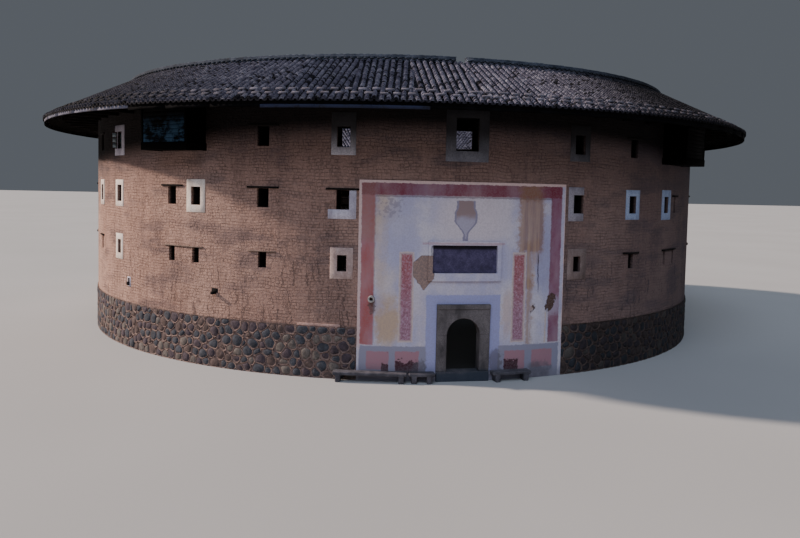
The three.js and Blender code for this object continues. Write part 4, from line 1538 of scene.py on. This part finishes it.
@dataclass
class Eaves:
    """Boards along both eaves, with light and shade painted by angle, and the purlin and beams that carry the
    outer one.
    """

    # Sunlit, half-lit and shaded copies of the board by angle: painted light and shade
    faces: tuple[BoardFace, ...] = (
        BoardFace(0, (-75.0, -43.0), (-0.06, 0.08)),
        BoardFace(2, (-24.0, -6.0), (-0.19, -0.06)),
        BoardFace(1, (-181.0, 181.0), (-0.16, -0.03)),
    )
    seed: int = 12
    boards_round: int = 60
    thickness: float = 0.035
    inset: float = 0.02
    top: float = 0.115
    drop: float = 0.004
    gap: float = 0.004
    joint: float = 0.008
    purlin: Span = (20.42, 20.6)
    purlin_depth: float = 0.18
    purlin_steps: int = 128
    beams: int = 64
    beam_sides: Span = (-0.07, 0.07)
    beam_path: Span = (17.9, 20.8)
    beam_depth: float = 0.4
    lookout_half: float = 5.0

    def build(self) -> None:
        """Builds the boards, then the purlin with its beams."""
        self.boards()
        self.frame()

    def boards(self) -> None:
        """Builds the boards along both eaves."""
        pile = Pile()
        rng = np.random.default_rng(self.seed)
        joints = np.linspace(0.0, 360.0, self.boards_round + 1)
        for radius, thickness in (
            (FORM.eave_radius - self.inset, self.thickness),
            (FORM.inner_eave + self.inset, -self.thickness),
        ):
            foot = FORM.roof_at(radius)
            near, far = sorted((radius, radius - thickness))
            for start, end in zip(joints[:-1], joints[1:]):
                drop = rng.uniform(-self.drop, self.drop)
                face = self.face((start + end) / 2)
                lower, upper = (foot + drop + height for height in face.heights)
                top = foot + drop + self.top
                # Over each face a strip in the shaded finish: the painted shadow under the tiles' ends
                for low, high, look in ((lower, upper, face.look), (upper + self.gap, top, 1)):
                    section = ((near, low), (far, low), (far, high), (near, high))
                    pile.sweep(section, np.linspace(start + self.joint, end - self.joint, 4), look=look)
        looks = (Finish.FASCIA, Finish.DARK_FASCIA, Finish.FADED_FASCIA)
        pile.piece("eave_boards", looks, "boards")

    def face(self, angle: float) -> BoardFace:
        """Gives the kind of board at an angle from 0 to 360 degrees."""
        turned = angle - 360 if angle > 180 else angle
        return next(face for face in self.faces if face.angles[0] < turned < face.angles[1])

    def frame(self) -> None:
        """Builds the purlin under the eave and the beams that carry it, clear of the lookouts."""
        pile = Pile()
        near, far = self.purlin
        top = float(FORM.roof_at(far))
        foot = top - self.purlin_depth
        pile.sweep(((near, foot), (far, foot), (far, top), (near, top)), ring(self.purlin_steps), closed=True)
        angles = ring(self.beams) - 180 + 180 / self.beams
        clear = np.abs(angles[:, None] - FORM.lookouts).min(axis=1) > self.lookout_half
        pile.bars(angles[clear], self.beam_sides, self.beam_path, (top - self.beam_depth, foot))
        pile.piece("eave_beams", [Finish.RADIAL_TIMBER], "timber", bevel=0.012)


@dataclass
class RoofBricks:
    """Two staggered rings of bricks that hold the tiles down."""

    up_slopes: Span = (0.38, 0.88)
    counted_at: float = 21.0
    strays: float = 0.05
    half_length: Span = (0.14, 0.19)
    half_width: float = 0.06
    skew: float = 0.02
    heights: Span = (-0.01, 0.06)
    shares: Span = (0.85, 0.15)
    seed: int = 13

    def build(self) -> None:
        """Builds both rings as one piece."""
        pile = Pile()
        rng = np.random.default_rng(self.seed)
        tiles = RoofTiles()
        count = round(math.pi * self.counted_at / tiles.row_pitch)
        low, high = (tiles.cover_lift + tiles.cover_height + height for height in self.heights)
        for number, up_slope in enumerate(self.up_slopes):
            radius = FORM.eave_radius - up_slope * FORM.pitch
            angles = (np.arange(count) + number / 2) * 360 / count + rng.normal(0.0, self.strays, count)
            half = rng.uniform(*self.half_length, count)
            skew = rng.normal(0.0, self.skew, count)
            path = (radius - self.half_width + skew, radius + self.half_width + skew)
            looks = rng.choice(2, count, p=self.shares)
            pile.bars(angles, (-half, half), path, (low, high), FORM.roof_at, looks)
        pile.piece("roof_bricks", (Finish.BRICK, Finish.TILE_PALE), "tile", bevel=0.012)


@dataclass
class RidgeTiles:
    """The ridge of stacked tiles, with its break over the gate."""

    ends: Span = (1.15, 359.4)
    steps: int = 256
    layers: tuple[Triple, ...] = ((0.1, 0.24, 0.2), (0.24, 0.31, 0.23), (0.31, 0.37, 0.2))
    taper: float = 0.01
    pitch: float = 0.3
    end_gap: float = 0.4
    strays: float = 0.04
    side_path: Span = (0.19, 0.26)
    side_half: float = 0.1
    side_heights: Span = (0.2, 0.235)
    cap_half_length: float = 0.14
    cap_half_width: float = 0.16
    cap_foot: float = 0.36
    cap_tops: Span = (0.38, 0.395)
    seed: int = 14

    def build(self) -> None:
        """Builds the ridge as one piece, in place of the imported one."""
        pile = Pile()
        rng = np.random.default_rng(self.seed)
        start, end = self.ends
        ridge, foot = FORM.ridge_radius, FORM.ridge_underside
        for low, high, half in self.layers:
            section = (
                (ridge - half, foot + low),
                (ridge + half, foot + low),
                (ridge + half - self.taper, foot + high),
                (ridge - half + self.taper, foot + high),
            )
            pile.sweep(section, np.linspace(start, end, self.steps + 1))
        count = round(math.radians(end - start) * ridge / self.pitch)
        spots = np.linspace(start + self.end_gap, end - self.end_gap, count)
        spots += rng.normal(0.0, self.strays, count)
        sides = (-self.side_half, self.side_half)
        heights = tuple(foot + height for height in self.side_heights)
        near, far = self.side_path
        for path in ((ridge - far, ridge - near), (ridge + near, ridge + far)):
            pile.bars(spots, sides, path, heights)
        sides = (-self.cap_half_length, self.cap_half_length)
        path = (ridge - self.cap_half_width, ridge + self.cap_half_width)
        pile.bars(spots, sides, path, (foot + self.cap_foot, foot + rng.uniform(*self.cap_tops, count)))
        pile.piece("ridge_tiles", [Finish.RIDGE], "tile", replaces=("ridge",))


@dataclass
class CobbleFacing:
    """Rounded stones set in raised mortar on the face of the plinth."""

    start: float = 14.75
    end: float = 345.85
    top: float = 2.34
    column: float = 0.47
    row: float = 0.39
    stray: float = 0.32
    weight: float = 0.085
    least: float = 0.05
    mortar: Span = (0.022, 0.055)
    stand: Span = (0.028, 0.06)
    shares: tuple[float, ...] = (0.38, 0.2, 0.16, 0.26)
    ridge: float = 0.042
    foot: float = 0.012
    smallest: float = 0.35
    corners: int = 12
    seed: int = 5

    @property
    def directions(self) -> np.ndarray:
        """Gives the directions from a stone's middle in radians."""
        return np.arange(self.corners) * 2 * math.pi / self.corners

    def build(self) -> None:
        """Lays the stones, in one piece for each side."""
        centers, reaches = self.layout()
        looks = (Finish.STONE_SLATE, Finish.STONE_BROWN, Finish.STONE_TAN, Finish.STONE_PLUM, Finish.MORTAR)
        middle = (centers[:, 0].min() + centers[:, 0].max()) / 2
        rng = np.random.default_rng(self.seed + 1)
        for side, chosen in (("right", centers[:, 0] < middle), ("left", centers[:, 0] >= middle)):
            pile = Pile()
            self.stones(pile, centers[chosen], reaches[chosen], rng)
            pile.piece(f"cobbles_{side}", looks, "cobble", sharp=60.0)

    def layout(self) -> tuple[np.ndarray, np.ndarray]:
        """Packs the stones against one another.

        Returns:
            Each stone's middle, and in every direction the reach of its share of the wall.
        """
        rng = np.random.default_rng(self.seed)
        length = math.radians(self.end - self.start) * FORM.wall_radius
        columns = round(length / self.column)
        rows = round(self.top / self.row)
        pitch, rise = length / columns, self.top / rows
        across, up = np.meshgrid(np.arange(columns), np.arange(rows), indexing="ij")
        x = (across + 0.5 + 0.5 * (up % 2 - 0.5) + rng.uniform(-self.stray, self.stray, across.shape)) * pitch
        y = (up + 0.5 + rng.uniform(-self.stray, self.stray, across.shape)) * rise
        weight = rng.uniform(0.0, self.weight, across.shape)
        cosines, sines = np.cos(self.directions), np.sin(self.directions)
        limits = []
        for step_x in range(-2, 3):
            for step_y in range(-2, 3):
                if step_x == 0 and step_y == 0:
                    continue
                other_x, other_y, other_w = (self.moved(grid, step_x, step_y) for grid in (x, y, weight))
                dx, dy = other_x - x, other_y - y
                distance = np.hypot(dx, dy)
                border = distance / 2 + (weight - other_w) / (2 * distance)
                toward = (dx[..., None] * cosines + dy[..., None] * sines) / distance[..., None]
                limits.append(self.reach(border, toward))
        for border, toward in ((self.top - y, sines), (y, -sines), (length - x, cosines), (x, -cosines)):
            limits.append(self.reach(border, toward))
        reaches = np.maximum(np.min(limits, axis=0), self.least)
        return np.stack([x, y], axis=-1).reshape(-1, 2), reaches.reshape(-1, self.corners)

    @staticmethod
    def reach(border: np.ndarray, toward: np.ndarray) -> np.ndarray:
        """Gives how far stones may reach up to a straight border, by how squarely each direction meets it."""
        return np.where(toward > 0.05, border[..., None] / np.maximum(toward, 0.05), np.inf)

    @staticmethod
    def moved(grid: np.ndarray, step_x: int, step_y: int) -> np.ndarray:
        """Gives a grid moved by whole steps, with far values where nothing moves in.

        Args:
            grid: Values by column and row, which are at most two steps moved.
            step_x: Columns that it is moved by.
            step_y: Rows that it is moved by.

        Returns:
            The moved grid.
        """
        padded = np.pad(grid, 2, constant_values=np.nan)
        columns, rows = grid.shape
        part = padded[2 + step_x:2 + step_x + columns, 2 + step_y:2 + step_y + rows]
        return np.where(np.isnan(part), 99.0, part)

    def stones(self, pile: Pile, centers: np.ndarray, reaches: np.ndarray, rng: np.random.Generator) -> None:
        """Adds the stones' domes and the mortar around them.

        Args:
            pile: Where they are added.
            centers: Each stone's middle along the wall and up it.
            reaches: The reach of its share of the wall in every direction.
            rng: Source of chance.
        """
        count, corners = reaches.shape
        kinds = rng.choice(len(self.shares), count, p=self.shares)
        bed = rng.uniform(*self.mortar, (count, 1))
        stand = rng.uniform(*self.stand, (count, 1))
        smoothed = (np.roll(reaches, 1, axis=1) + 2 * reaches + np.roll(reaches, -1, axis=1)) / 4
        stone = np.maximum(np.minimum(reaches, smoothed) - bed - self.foot, self.smallest * reaches)
        rings = (
            (reaches + 0.003, self.ridge),
            (np.maximum(reaches - 0.014, stone), self.ridge * 0.7),
            (stone, self.foot),
            (stone * 0.88, self.foot + stand * 0.65),
            (stone * 0.5, self.foot + stand * 0.96),
        )
        layers = [self.on_wall(centers, reach, off) for reach, off in rings]
        layers.append(self.on_wall(centers, stone * 0.0, self.foot + stand)[:, :1])
        points = np.concatenate(layers, axis=1)

        near = np.arange(corners)
        ahead = (near + 1) % corners
        bands = len(rings) - 1
        belts = []
        for band in range(bands):
            inner, outer = (band + 1) * corners, band * corners
            belts.append(np.stack([outer + near, outer + ahead, inner + ahead, inner + near], axis=1))
        last = bands * corners
        fan = np.stack([last + near, last + ahead, np.full(corners, last + corners)], axis=1)
        steps = np.arange(count)[:, None, None] * points.shape[1]
        mortar = np.full((count, 2 * corners), len(self.shares))
        body = np.repeat(kinds[:, None], (bands - 2) * corners, axis=1)
        start = pile.count
        quads = (np.concatenate(belts)[None] + steps).reshape(-1, 4)
        pile.add(points, quads, np.concatenate([mortar, body], axis=1).ravel())
        pile.faces.append((fan[None] + steps).reshape(-1, 3) + start)
        pile.looks.append(np.repeat(kinds, corners))

    def on_wall(self, centers: np.ndarray, reach: np.ndarray, off: Measure) -> np.ndarray:
        """Gives points around the stones' middles.

        Args:
            centers: Each stone's middle along the wall and up it.
            reach: Distance of the points from it in every direction.
            off: How far the points stand off the wall.

        Returns:
            The points by stone and direction.
        """
        x = centers[:, :1] + reach * np.cos(self.directions)
        y = np.clip(centers[:, 1:] + reach * np.sin(self.directions), 0.0, self.top)
        return around(self.start + np.degrees(x / FORM.wall_radius), FORM.wall_at(y) + off, y)


@dataclass(frozen=True)
class Row:
    """Sizes of the plain windows of one storey."""

    sill: float
    height: float
    width: float

    @property
    def top(self) -> float:
        """Gives the height of the opening's top."""
        return self.sill + self.height


ROWS = {2: Row(4.8, 0.71, 0.42), 3: Row(7.5, 0.84, 0.58), 4: Row(10.2, 0.87, 0.58)}


@dataclass(frozen=True)
class Surround:
    """Limewashed plaster around one window: what shows on each side of the opening."""

    angle: float
    row: int
    left: float
    right: float
    below: float
    above: float
    finish: Finish
    broken: tuple[tuple[int, int], ...] = ()

    def mirrored(self) -> "Surround":
        """Gives the surround on the far side of the house."""
        broken = tuple((2 - column, level) for column, level in self.broken)
        return replace(self, angle=180 - self.angle, left=self.right, right=self.left, broken=broken)


@dataclass(frozen=True)
class Lintel:
    """A board over one window or over two."""

    angle: float
    row: int
    length: float
    bleached: bool = False


@dataclass
class WindowTrim:
    """Plaster surrounds and lintel boards of the windows."""

    # Each surround's finish paints how light falls on it: the palest where sun falls, the grey and darkest
    # ones in the eave's shade
    surrounds: tuple[Surround, ...] = (
        Surround(-68.3, 3, 0.22, 0.22, 0.27, 0.27, Finish.CHALK_WASH),
        Surround(-58.4, 4, 0.34, 0.34, 0.35, 0.32, Finish.WHITE_WASH),
        Surround(-58.4, 3, 0.225, 0.225, 0.27, 0.27, Finish.CHALK_WASH),
        Surround(-58.4, 2, 0.255, 0.255, 0.31, 0.31, Finish.CHALK_WASH),
        Surround(-38.6, 3, 0.28, 0.28, 0.345, 0.345, Finish.CHALK_WASH),
        Surround(-16.3, 4, 0.255, 0.255, 0.35, 0.6, Finish.SHADE_WASH),
        Surround(-16.3, 3, 0.36, 0.31, 0.41, 0.0, Finish.WHITE_WASH, broken=((0, 1),)),
        Surround(-16.3, 2, 0.31, 0.29, 0.34, 0.33, Finish.CREAM_WASH),
        Surround(17.1, 4, 0.29, 0.29, 0.33, 0.43, Finish.DUSK_WASH),
        Surround(17.1, 3, 0.3, 0.0, 0.36, 0.36, Finish.WHITE_WASH),
        Surround(17.1, 2, 0.34, 0.34, 0.36, 0.36, Finish.CREAM_WASH),
        Surround(28.4, 3, 0.275, 0.275, 0.3, 0.3, Finish.BLUE_WASH),
        Surround(38.9, 3, 0.3, 0.3, 0.35, 0.35, Finish.BLUE_WASH),
    )
    lintels: tuple[Lintel, ...] = (
        Lintel(-68.3, 4, 1.0),
        Lintel(-68.3, 2, 0.9),
        Lintel(-43.4, 3, 1.5),
        Lintel(-41.0, 2, 2.6, True),
        Lintel(-27.5, 4, 1.5),
        Lintel(-27.5, 3, 1.57),
        Lintel(-27.5, 2, 1.4, True),
        Lintel(-16.3, 3, 1.5),
        Lintel(28.4, 4, 1.3),
        Lintel(28.4, 2, 1.3),
        Lintel(40.85, 2, 2.0),
        Lintel(42.8, 3, 0.9),
        Lintel(58.4, 4, 1.3),
        Lintel(58.4, 3, 1.4),
        Lintel(58.4, 2, 1.2),
        Lintel(68.3, 4, 1.2),
        Lintel(68.3, 3, 1.3),
        Lintel(68.3, 2, 1.1),
    )
    side_columns: tuple[float, ...] = (79.5, 100.5, -79.5, -100.5)
    side_lintel: float = 1.3
    framed_columns: tuple[float, ...] = (90.0, -90.0, 180.0)
    framed_margins: tuple[float, ...] = (0.26, 0.26, 0.3, 0.3)
    gate_window: Row = Row(10.14, 1.42, 1.02)
    gate_margins: tuple[float, ...] = (0.455, 0.455, 0.46, 0.42)
    washes: tuple[Finish, ...] = (
        Finish.WHITE_WASH, Finish.CREAM_WASH, Finish.BLUE_WASH, Finish.SHADE_WASH, Finish.DUSK_WASH,
        Finish.CHALK_WASH,
    )
    proud: float = 0.022
    board_gap: float = 0.005
    board_proud: float = 0.06
    board_sunk: float = 0.1
    thickness: float = 0.085
    bleached_thickness: float = 0.05

    def build(self) -> None:
        """Builds the trim of the gate side, of its mirror image on the far side, and of the sides."""
        self.frames()
        self.boards()

    def frames(self) -> None:
        """Builds the surrounds as one piece."""
        pile = Pile()
        for item in self.surrounds:
            for side in (item, item.mirrored()):
                margins = (side.left, side.right, side.below, side.above)
                self.frame(pile, side.angle, ROWS[side.row], margins, side.finish, side.broken)
        for angle in self.framed_columns:
            for row in ROWS.values():
                self.frame(pile, angle, row, self.framed_margins, Finish.WHITE_WASH)
        # The gate window's surround takes the darkest wash: painted shade
        self.frame(pile, 0.0, self.gate_window, self.gate_margins, Finish.DUSK_WASH)
        pile.piece("window_surrounds", self.washes, "plaster", bevel=0.008)

    def frame(
        self,
        pile: Pile,
        angle: float,
        row: Row,
        margins: Sequence[float],
        wash: Finish,
        broken: Iterable[tuple[int, int]] = (),
    ) -> None:
        """Adds one surround.

        Args:
            pile: Where it is added.
            angle: Degrees to the window's middle.
            row: The window's sizes.
            margins: What shows on the left, on the right, below and above.
            wash: Its finish.
            broken: Places where the plaster has come off, as column and level around the opening.
        """
        left, right, below, above = margins
        half = row.width / 2
        across = (-half - left, -half, half, half + right)
        up = (row.sill - below, row.sill, row.top, row.top + above)
        cells = {(column, level) for column in range(3) for level in range(3)
                 if across[column + 1] > across[column] and up[level + 1] > up[level]}
        cells -= {(1, 1), *broken}
        pile.pierced(angle, across, up, cells, self.proud, look=self.washes.index(wash))

    def boards(self) -> None:
        """Builds the lintel boards as one piece."""
        pile = Pile()
        for item in self.lintels:
            for angle in (item.angle, 180 - item.angle):
                self.board(pile, angle, ROWS[item.row], item.length, item.bleached)
        for angle in self.side_columns:
            for row in ROWS.values():
                self.board(pile, angle, row, self.side_lintel)
        pile.piece("window_lintels", (Finish.DARK_TIMBER, Finish.PALE_TIMBER), "timber", bevel=0.01)

    def board(self, pile: Pile, angle: float, row: Row, length: float, bleached: bool = False) -> None:
        """Adds one lintel board, which stands out of the wall a little.

        Args:
            pile: Where it is added.
            angle: Degrees to its middle.
            row: Sizes of the windows below it.
            length: Its length.
            bleached: Whether it is a thin bleached one.
        """
        foot = row.top + self.board_gap
        top = foot + (self.bleached_thickness if bleached else self.thickness)
        across = (-length / 2, length / 2)
        pile.plate(angle, across, (foot, top), self.board_proud, self.board_sunk, int(bleached))


@dataclass
class WallFittings:
    """Small things in the wall's face: a stub of pole, a rimmed vent and a strip of plaster, with painted
    shade in the holes of the first two.
    """

    stub: Span = (-35.0, 3.5)
    vent: Span = (-54.8, 3.38)
    strip: Span = (-19.4, 2.32)

    def build(self) -> None:
        """Builds the woodwork as one piece and the patches as a second one."""
        stub, stub_height = self.stub
        vent, vent_height = self.vent
        strip, strip_height = self.strip
        face = float(FORM.wall_at(stub_height))
        wood = Pile()
        wood.bars(stub, (-0.07, 0.07), (face - 0.1, face + 0.26), (stub_height - 0.07, stub_height + 0.07))
        wood.bars(vent, (-0.09, 0.09), (face - 0.1, face + 0.12), (vent_height - 0.16, vent_height + 0.02))
        wood.piece("pole_stub", [Finish.DARK_TIMBER], "timber", bevel=0.02)

        patches = Pile()
        # Dark plates stand for the unlit holes round the stub and inside the vent's rim: painted shade
        patches.plate(stub, (-0.2, 0.16), (stub_height - 0.02, stub_height + 0.2), 0.006, look=1)
        patches.plate(vent, (-0.16, 0.19), (vent_height - 0.22, vent_height + 0.28), 0.012)
        patches.plate(vent, (-0.1, 0.1), (vent_height - 0.02, vent_height + 0.22), 0.016, look=1)
        patches.plate(strip, (-0.95, 1.0), (strip_height - 0.09, strip_height + 0.13), 0.02, look=2)
        looks = (Finish.WHITE_WASH, Finish.DARK_TIMBER, Finish.PINK_PATCH)
        patches.piece("wall_patches", looks, "plaster", bevel=0.006)


@dataclass
class Galleries:
    """Rails and balusters along the open edge of the upper storeys."""

    floors: Triple = (3.85, 6.55, 9.25)
    per_bay: int = 16
    off_posts: float = 0.14
    baluster_sides: Span = (-0.022, 0.022)
    baluster_path: Span = (0.03, 0.075)
    baluster_heights: Span = (0.1, 0.98)
    rail_width: float = 0.1
    rails: tuple[Triple, ...] = ((0.06, 0.12, 0.0), (0.98, 1.06, 0.02))
    rail_steps: int = 64

    def build(self) -> None:
        """Builds the rails of all storeys as one piece."""
        pile = Pile()
        near = FORM.post_radius + self.off_posts
        path = tuple(near + out for out in self.baluster_path)
        for floor in self.floors:
            heights = tuple(floor + height for height in self.baluster_heights)
            pile.bars(ring(FORM.bays * self.per_bay), self.baluster_sides, path, heights)
            for foot, top, grow in self.rails:
                start, end = near - grow, near + self.rail_width + grow
                low, high = floor + foot, floor + top
                section = ((start, low), (end, low), (end, high), (start, high))
                pile.sweep(section, ring(self.rail_steps), closed=True)
        pile.piece("gallery_rails", [Finish.TIMBER], "timber")


@dataclass
class LookoutTrim:
    """Framing in near-black painted shade, and battens, on the boarded lookouts."""

    half_width: float = 1.45
    bottom: float = 10.0
    sill: float = 0.31
    sill_grow: float = 0.02
    sill_path: Span = (-0.02, 0.06)
    side_reach: Span = (-0.02, 0.05)
    post_reach: Span = (-0.09, 0.03)
    post_path: Span = (-0.03, 0.035)
    reach: float = 1.1
    into_wall: float = 0.1
    boards: int = 11
    board_inset: float = 0.1
    board_stand: Span = (0.012, 0.03)
    board_gap: float = 0.006
    seed: int = 21

    def build(self) -> None:
        """Builds the framing and the boards of all lookouts."""
        frame, skin = Pile(), Pile()
        front = float(FORM.wall_at(self.bottom)) + self.reach
        rng = np.random.default_rng(self.seed)
        for angle in FORM.lookouts:
            self.frame(frame, angle, front)
            self.skin(skin, angle, front, rng)
        frame.piece("lookout_frames", [Finish.CHARRED], "timber", bevel=0.012)
        skin.piece("lookout_boards", [Finish.LIMED], "boards", bevel=0.004)

    def frame(self, pile: Pile, angle: float, front: float) -> None:
        """Adds one lookout's framing: the sill, its returns and the corner posts.

        Args:
            pile: Where it is added.
            angle: Degrees to the lookout's middle.
            front: Radius of its face.
        """
        half, sill = self.half_width, self.bottom + self.sill
        heights = (self.bottom - self.sill_grow, sill + self.sill_grow)
        path = tuple(front + out for out in self.sill_path)
        pile.bars(angle, (-half - self.side_reach[1], half + self.side_reach[1]), path, heights)
        back = front - self.reach - self.into_wall
        post_path = tuple(front + out for out in self.post_path)
        top = float(FORM.roof_at(front + 0.1)) - 0.02
        for side in (-1, 1):
            sides = sorted(side * (half + out) for out in self.side_reach)
            pile.bars(angle, sides, (back, front), heights)
            sides = sorted(side * (half + out) for out in self.post_reach)
            pile.bars(angle, sides, post_path, (sill, top))

    def skin(self, pile: Pile, angle: float, front: float, rng: np.random.Generator) -> None:
        """Adds one lookout's level boards.

        Args:
            pile: Where they are added.
            angle: Degrees to the lookout's middle.
            front: Radius of its face.
            rng: Source of chance.
        """
        low = self.bottom + self.sill + 0.02
        high = float(FORM.roof_at(front + 0.06)) - 0.03
        half = self.half_width - self.board_inset
        edges = np.linspace(low, high, self.boards + 1)
        for foot, top in zip(edges[:-1], edges[1:]):
            path = (front - 0.01, front + rng.uniform(*self.board_stand))
            pile.bars(angle, (-half, half), path, (foot + self.board_gap, top - self.board_gap))


@dataclass
class CasementGlass:
    """Panes of the one open window leaf, and its closed fellow in the window."""

    angle: float = -58.4
    row: int = 4
    open_by: float = 118.0
    width: float = 0.28
    height: float = 0.85
    stile: float = 0.04
    panes: int = 3
    pane_lap: float = 0.004
    inset: float = 0.12
    lift: float = 0.01
    gap: float = 0.002
    leaf_thickness: float = 0.03
    glass_thickness: float = 0.006

    def build(self) -> None:
        """Builds the panes of the open leaf, and the closed leaf with its panes."""
        row = ROWS[self.row]
        face = float(FORM.wall_at(row.sill))
        house = Matrix.Rotation(math.radians(self.angle), 4, "Z")
        hinge = house @ Matrix.Translation((-(row.width + self.stile) / 2, -face, row.sill))
        hinge @= Matrix.Rotation(math.radians(-self.open_by), 4, "Z")
        pile = Pile()
        self.glaze(pile, hinge)
        pile.piece("casement_glass", [Finish.PALE_GLASS], "painted_wood")

        pile = Pile()
        inner = (self.stile, self.width - self.stile)
        for left in (-self.width - self.gap, self.gap):
            leaf = house @ Matrix.Translation((left, self.inset - face, row.sill + self.lift))
            self.glaze(pile, leaf, look=1)
            for across in ((0.0, self.stile), (self.width - self.stile, self.width)):
                self.slab(pile, leaf, across, (0.0, self.height), self.leaf_thickness)
            for foot in self.rails():
                self.slab(pile, leaf, inner, (foot, foot + self.stile), self.leaf_thickness)
        pile.piece("closed_casement", (Finish.LEAF, Finish.GLASS), "painted_wood")

    def rails(self) -> np.ndarray:
        """Gives the feet of the leaf's rails."""
        return np.linspace(0.0, self.height - self.stile, self.panes + 1)

    def glaze(self, pile: Pile, leaf: Matrix, look: int = 0) -> None:
        """Adds the panes of a leaf.

        Args:
            pile: Where they are added.
            leaf: Where the leaf's hinge is.
            look: Number of their material.
        """
        rise = (self.height - self.stile) / self.panes
        across = (self.stile - self.pane_lap, self.width - self.stile + self.pane_lap)
        for foot in self.rails()[:-1]:
            up = (foot + self.stile - self.pane_lap, foot + rise + self.pane_lap)
            self.slab(pile, leaf, across, up, self.glass_thickness, look)

    @staticmethod
    def slab(pile: Pile, leaf: Matrix, across: Span, up: Span, thickness: float, look: int = 0) -> None:
        """Adds a flat slab of a leaf.

        Args:
            pile: Where it is added.
            leaf: Where the leaf's hinge is.
            across: Distances from the hinge.
            up: Foot and top.
            thickness: Its thickness.
            look: Number of the material.
        """
        depths = (thickness / 2, -thickness / 2)
        points = [leaf @ Vector((side, depth, end)) for side in across for depth in depths for end in up]
        pile.add(np.array(points), np.asarray(Pile.BAR_FACES), look)


@dataclass(frozen=True)
class SoftLight:
    """One far light: where it stands and its spread in degrees, its strength and its colour."""

    name: str
    angle: float
    elevation: float
    strength: float
    spread: float
    color: Triple

    def build(self) -> None:
        """Adds the light."""
        lamp = bpy.data.lights.new(self.name, "SUN")
        lamp.energy = self.strength
        lamp.angle = math.radians(self.spread)
        lamp.color = self.color
        light = bpy.data.objects.new(self.name, lamp)
        up = math.radians(self.elevation)
        toward = Vector(around(self.angle, math.cos(up), math.sin(up)))
        light.rotation_euler = toward.to_track_quat("Z", "Y").to_euler()
        light.location = toward * 40
        bpy.context.scene.collection.objects.link(light)


@dataclass
class Studio:
    """Floor, soft lights and the camera."""

    lights: tuple[SoftLight, ...] = (
        SoftLight("key_light", -108.0, 29.5, 6.3, 2.5, (1.0, 0.835, 0.715)),
        SoftLight("fill_light", -22.0, 46.0, 1.6, 45.0, (0.68, 0.79, 1.0)),
        SoftLight("right_light", 95.0, 24.0, 0.12, 45.0, (0.8, 0.88, 1.0)),
        SoftLight("back_light", 168.0, 24.0, 0.4, 45.0, (0.9, 0.94, 1.0)),
    )
    sky: Color = (0.78, 0.87, 1.0, 1.0)
    sky_strength: float = 0.13
    camera_at: Triple = (-4.150, -24.804, 4.2266)
    heading: float = 10.055
    down: float = 6.352
    roll: float = 1.283
    lens: float = 32.418
    sensor: float = 36.0
    far: float = 1000.0
    floor_half: float = 300.0
    courtyard_edge: float = 1.2

    def build(self) -> None:
        """Sets up the floor, the lights and the camera."""
        self.floor()
        for light in self.lights:
            light.build()
        world = bpy.data.worlds.new("studio")
        bpy.context.scene.world = world
        world.use_nodes = True
        background = world.node_tree.nodes["Background"]
        background.inputs["Color"].default_value = self.sky
        background.inputs["Strength"].default_value = self.sky_strength
        self.camera()

    def floor(self) -> None:
        """Lays the plain pale floor, with painted shade in the courtyard."""
        mesh = bpy.data.meshes.new("floor")
        half = self.floor_half
        corners = [(-half, -half, 0), (half, -half, 0), (half, half, 0), (-half, half, 0)]
        mesh.from_pydata(corners, [], [(0, 1, 2, 3)])
        ground = bpy.data.objects.new("floor", mesh)
        bpy.context.scene.collection.objects.link(ground)
        wiring = Wiring("studio_floor")
        soft = wiring.noise(0.05, detail=2.0)
        color = wiring.mix(wiring.step(soft, 0.3, 0.7), paint("a9a8a7"), paint("aeadac"))
        # Painted shade on the floor inside the ring
        inside = wiring.step(wiring.radius(), FORM.wall_inner + self.courtyard_edge, FORM.wall_inner)
        color = wiring.coat(color, "363534", inside)
        mesh.materials.append(wiring.finish(color, 0.9))

    def camera(self) -> None:
        """Sets the camera where the photograph was taken from."""
        heading, down, roll = (math.radians(value) for value in (self.heading, self.down, self.roll))
        ahead = math.cos(down)
        forward = Vector((math.sin(heading) * ahead, math.cos(heading) * ahead, -math.sin(down)))
        level = Vector((math.cos(heading), -math.sin(heading), 0.0))
        upright = level.cross(forward)
        right = level * math.cos(roll) + upright * math.sin(roll)
        up = upright * math.cos(roll) - level * math.sin(roll)
        lens = bpy.data.cameras.new("camera")
        lens.lens = self.lens
        lens.sensor_width = self.sensor
        lens.clip_end = self.far
        camera = bpy.data.objects.new("camera", lens)
        turned = Matrix((right, up, -forward)).transposed().to_4x4()
        camera.matrix_world = Matrix.Translation(self.camera_at) @ turned
        bpy.context.scene.collection.objects.link(camera)
        bpy.context.scene.camera = camera


def main() -> None:
    """Builds the looks of the whole house in order."""
    logging.basicConfig(level=logging.INFO, format="%(name)s: %(message)s")
    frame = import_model()
    Studio().build()
    NodeLooks().dress(frame["nodes"])
    WornStones().build(frame["nodes"])
    for part in (RoofTiles(), RoofBoards(), Eaves(), RoofBricks(), RidgeTiles()):
        part.build()
    CobbleFacing().build()
    for part in (WindowTrim(), WallFittings(), Galleries(), LookoutTrim(), CasementGlass()):
        part.build()


if __name__ == "__main__":
    main()
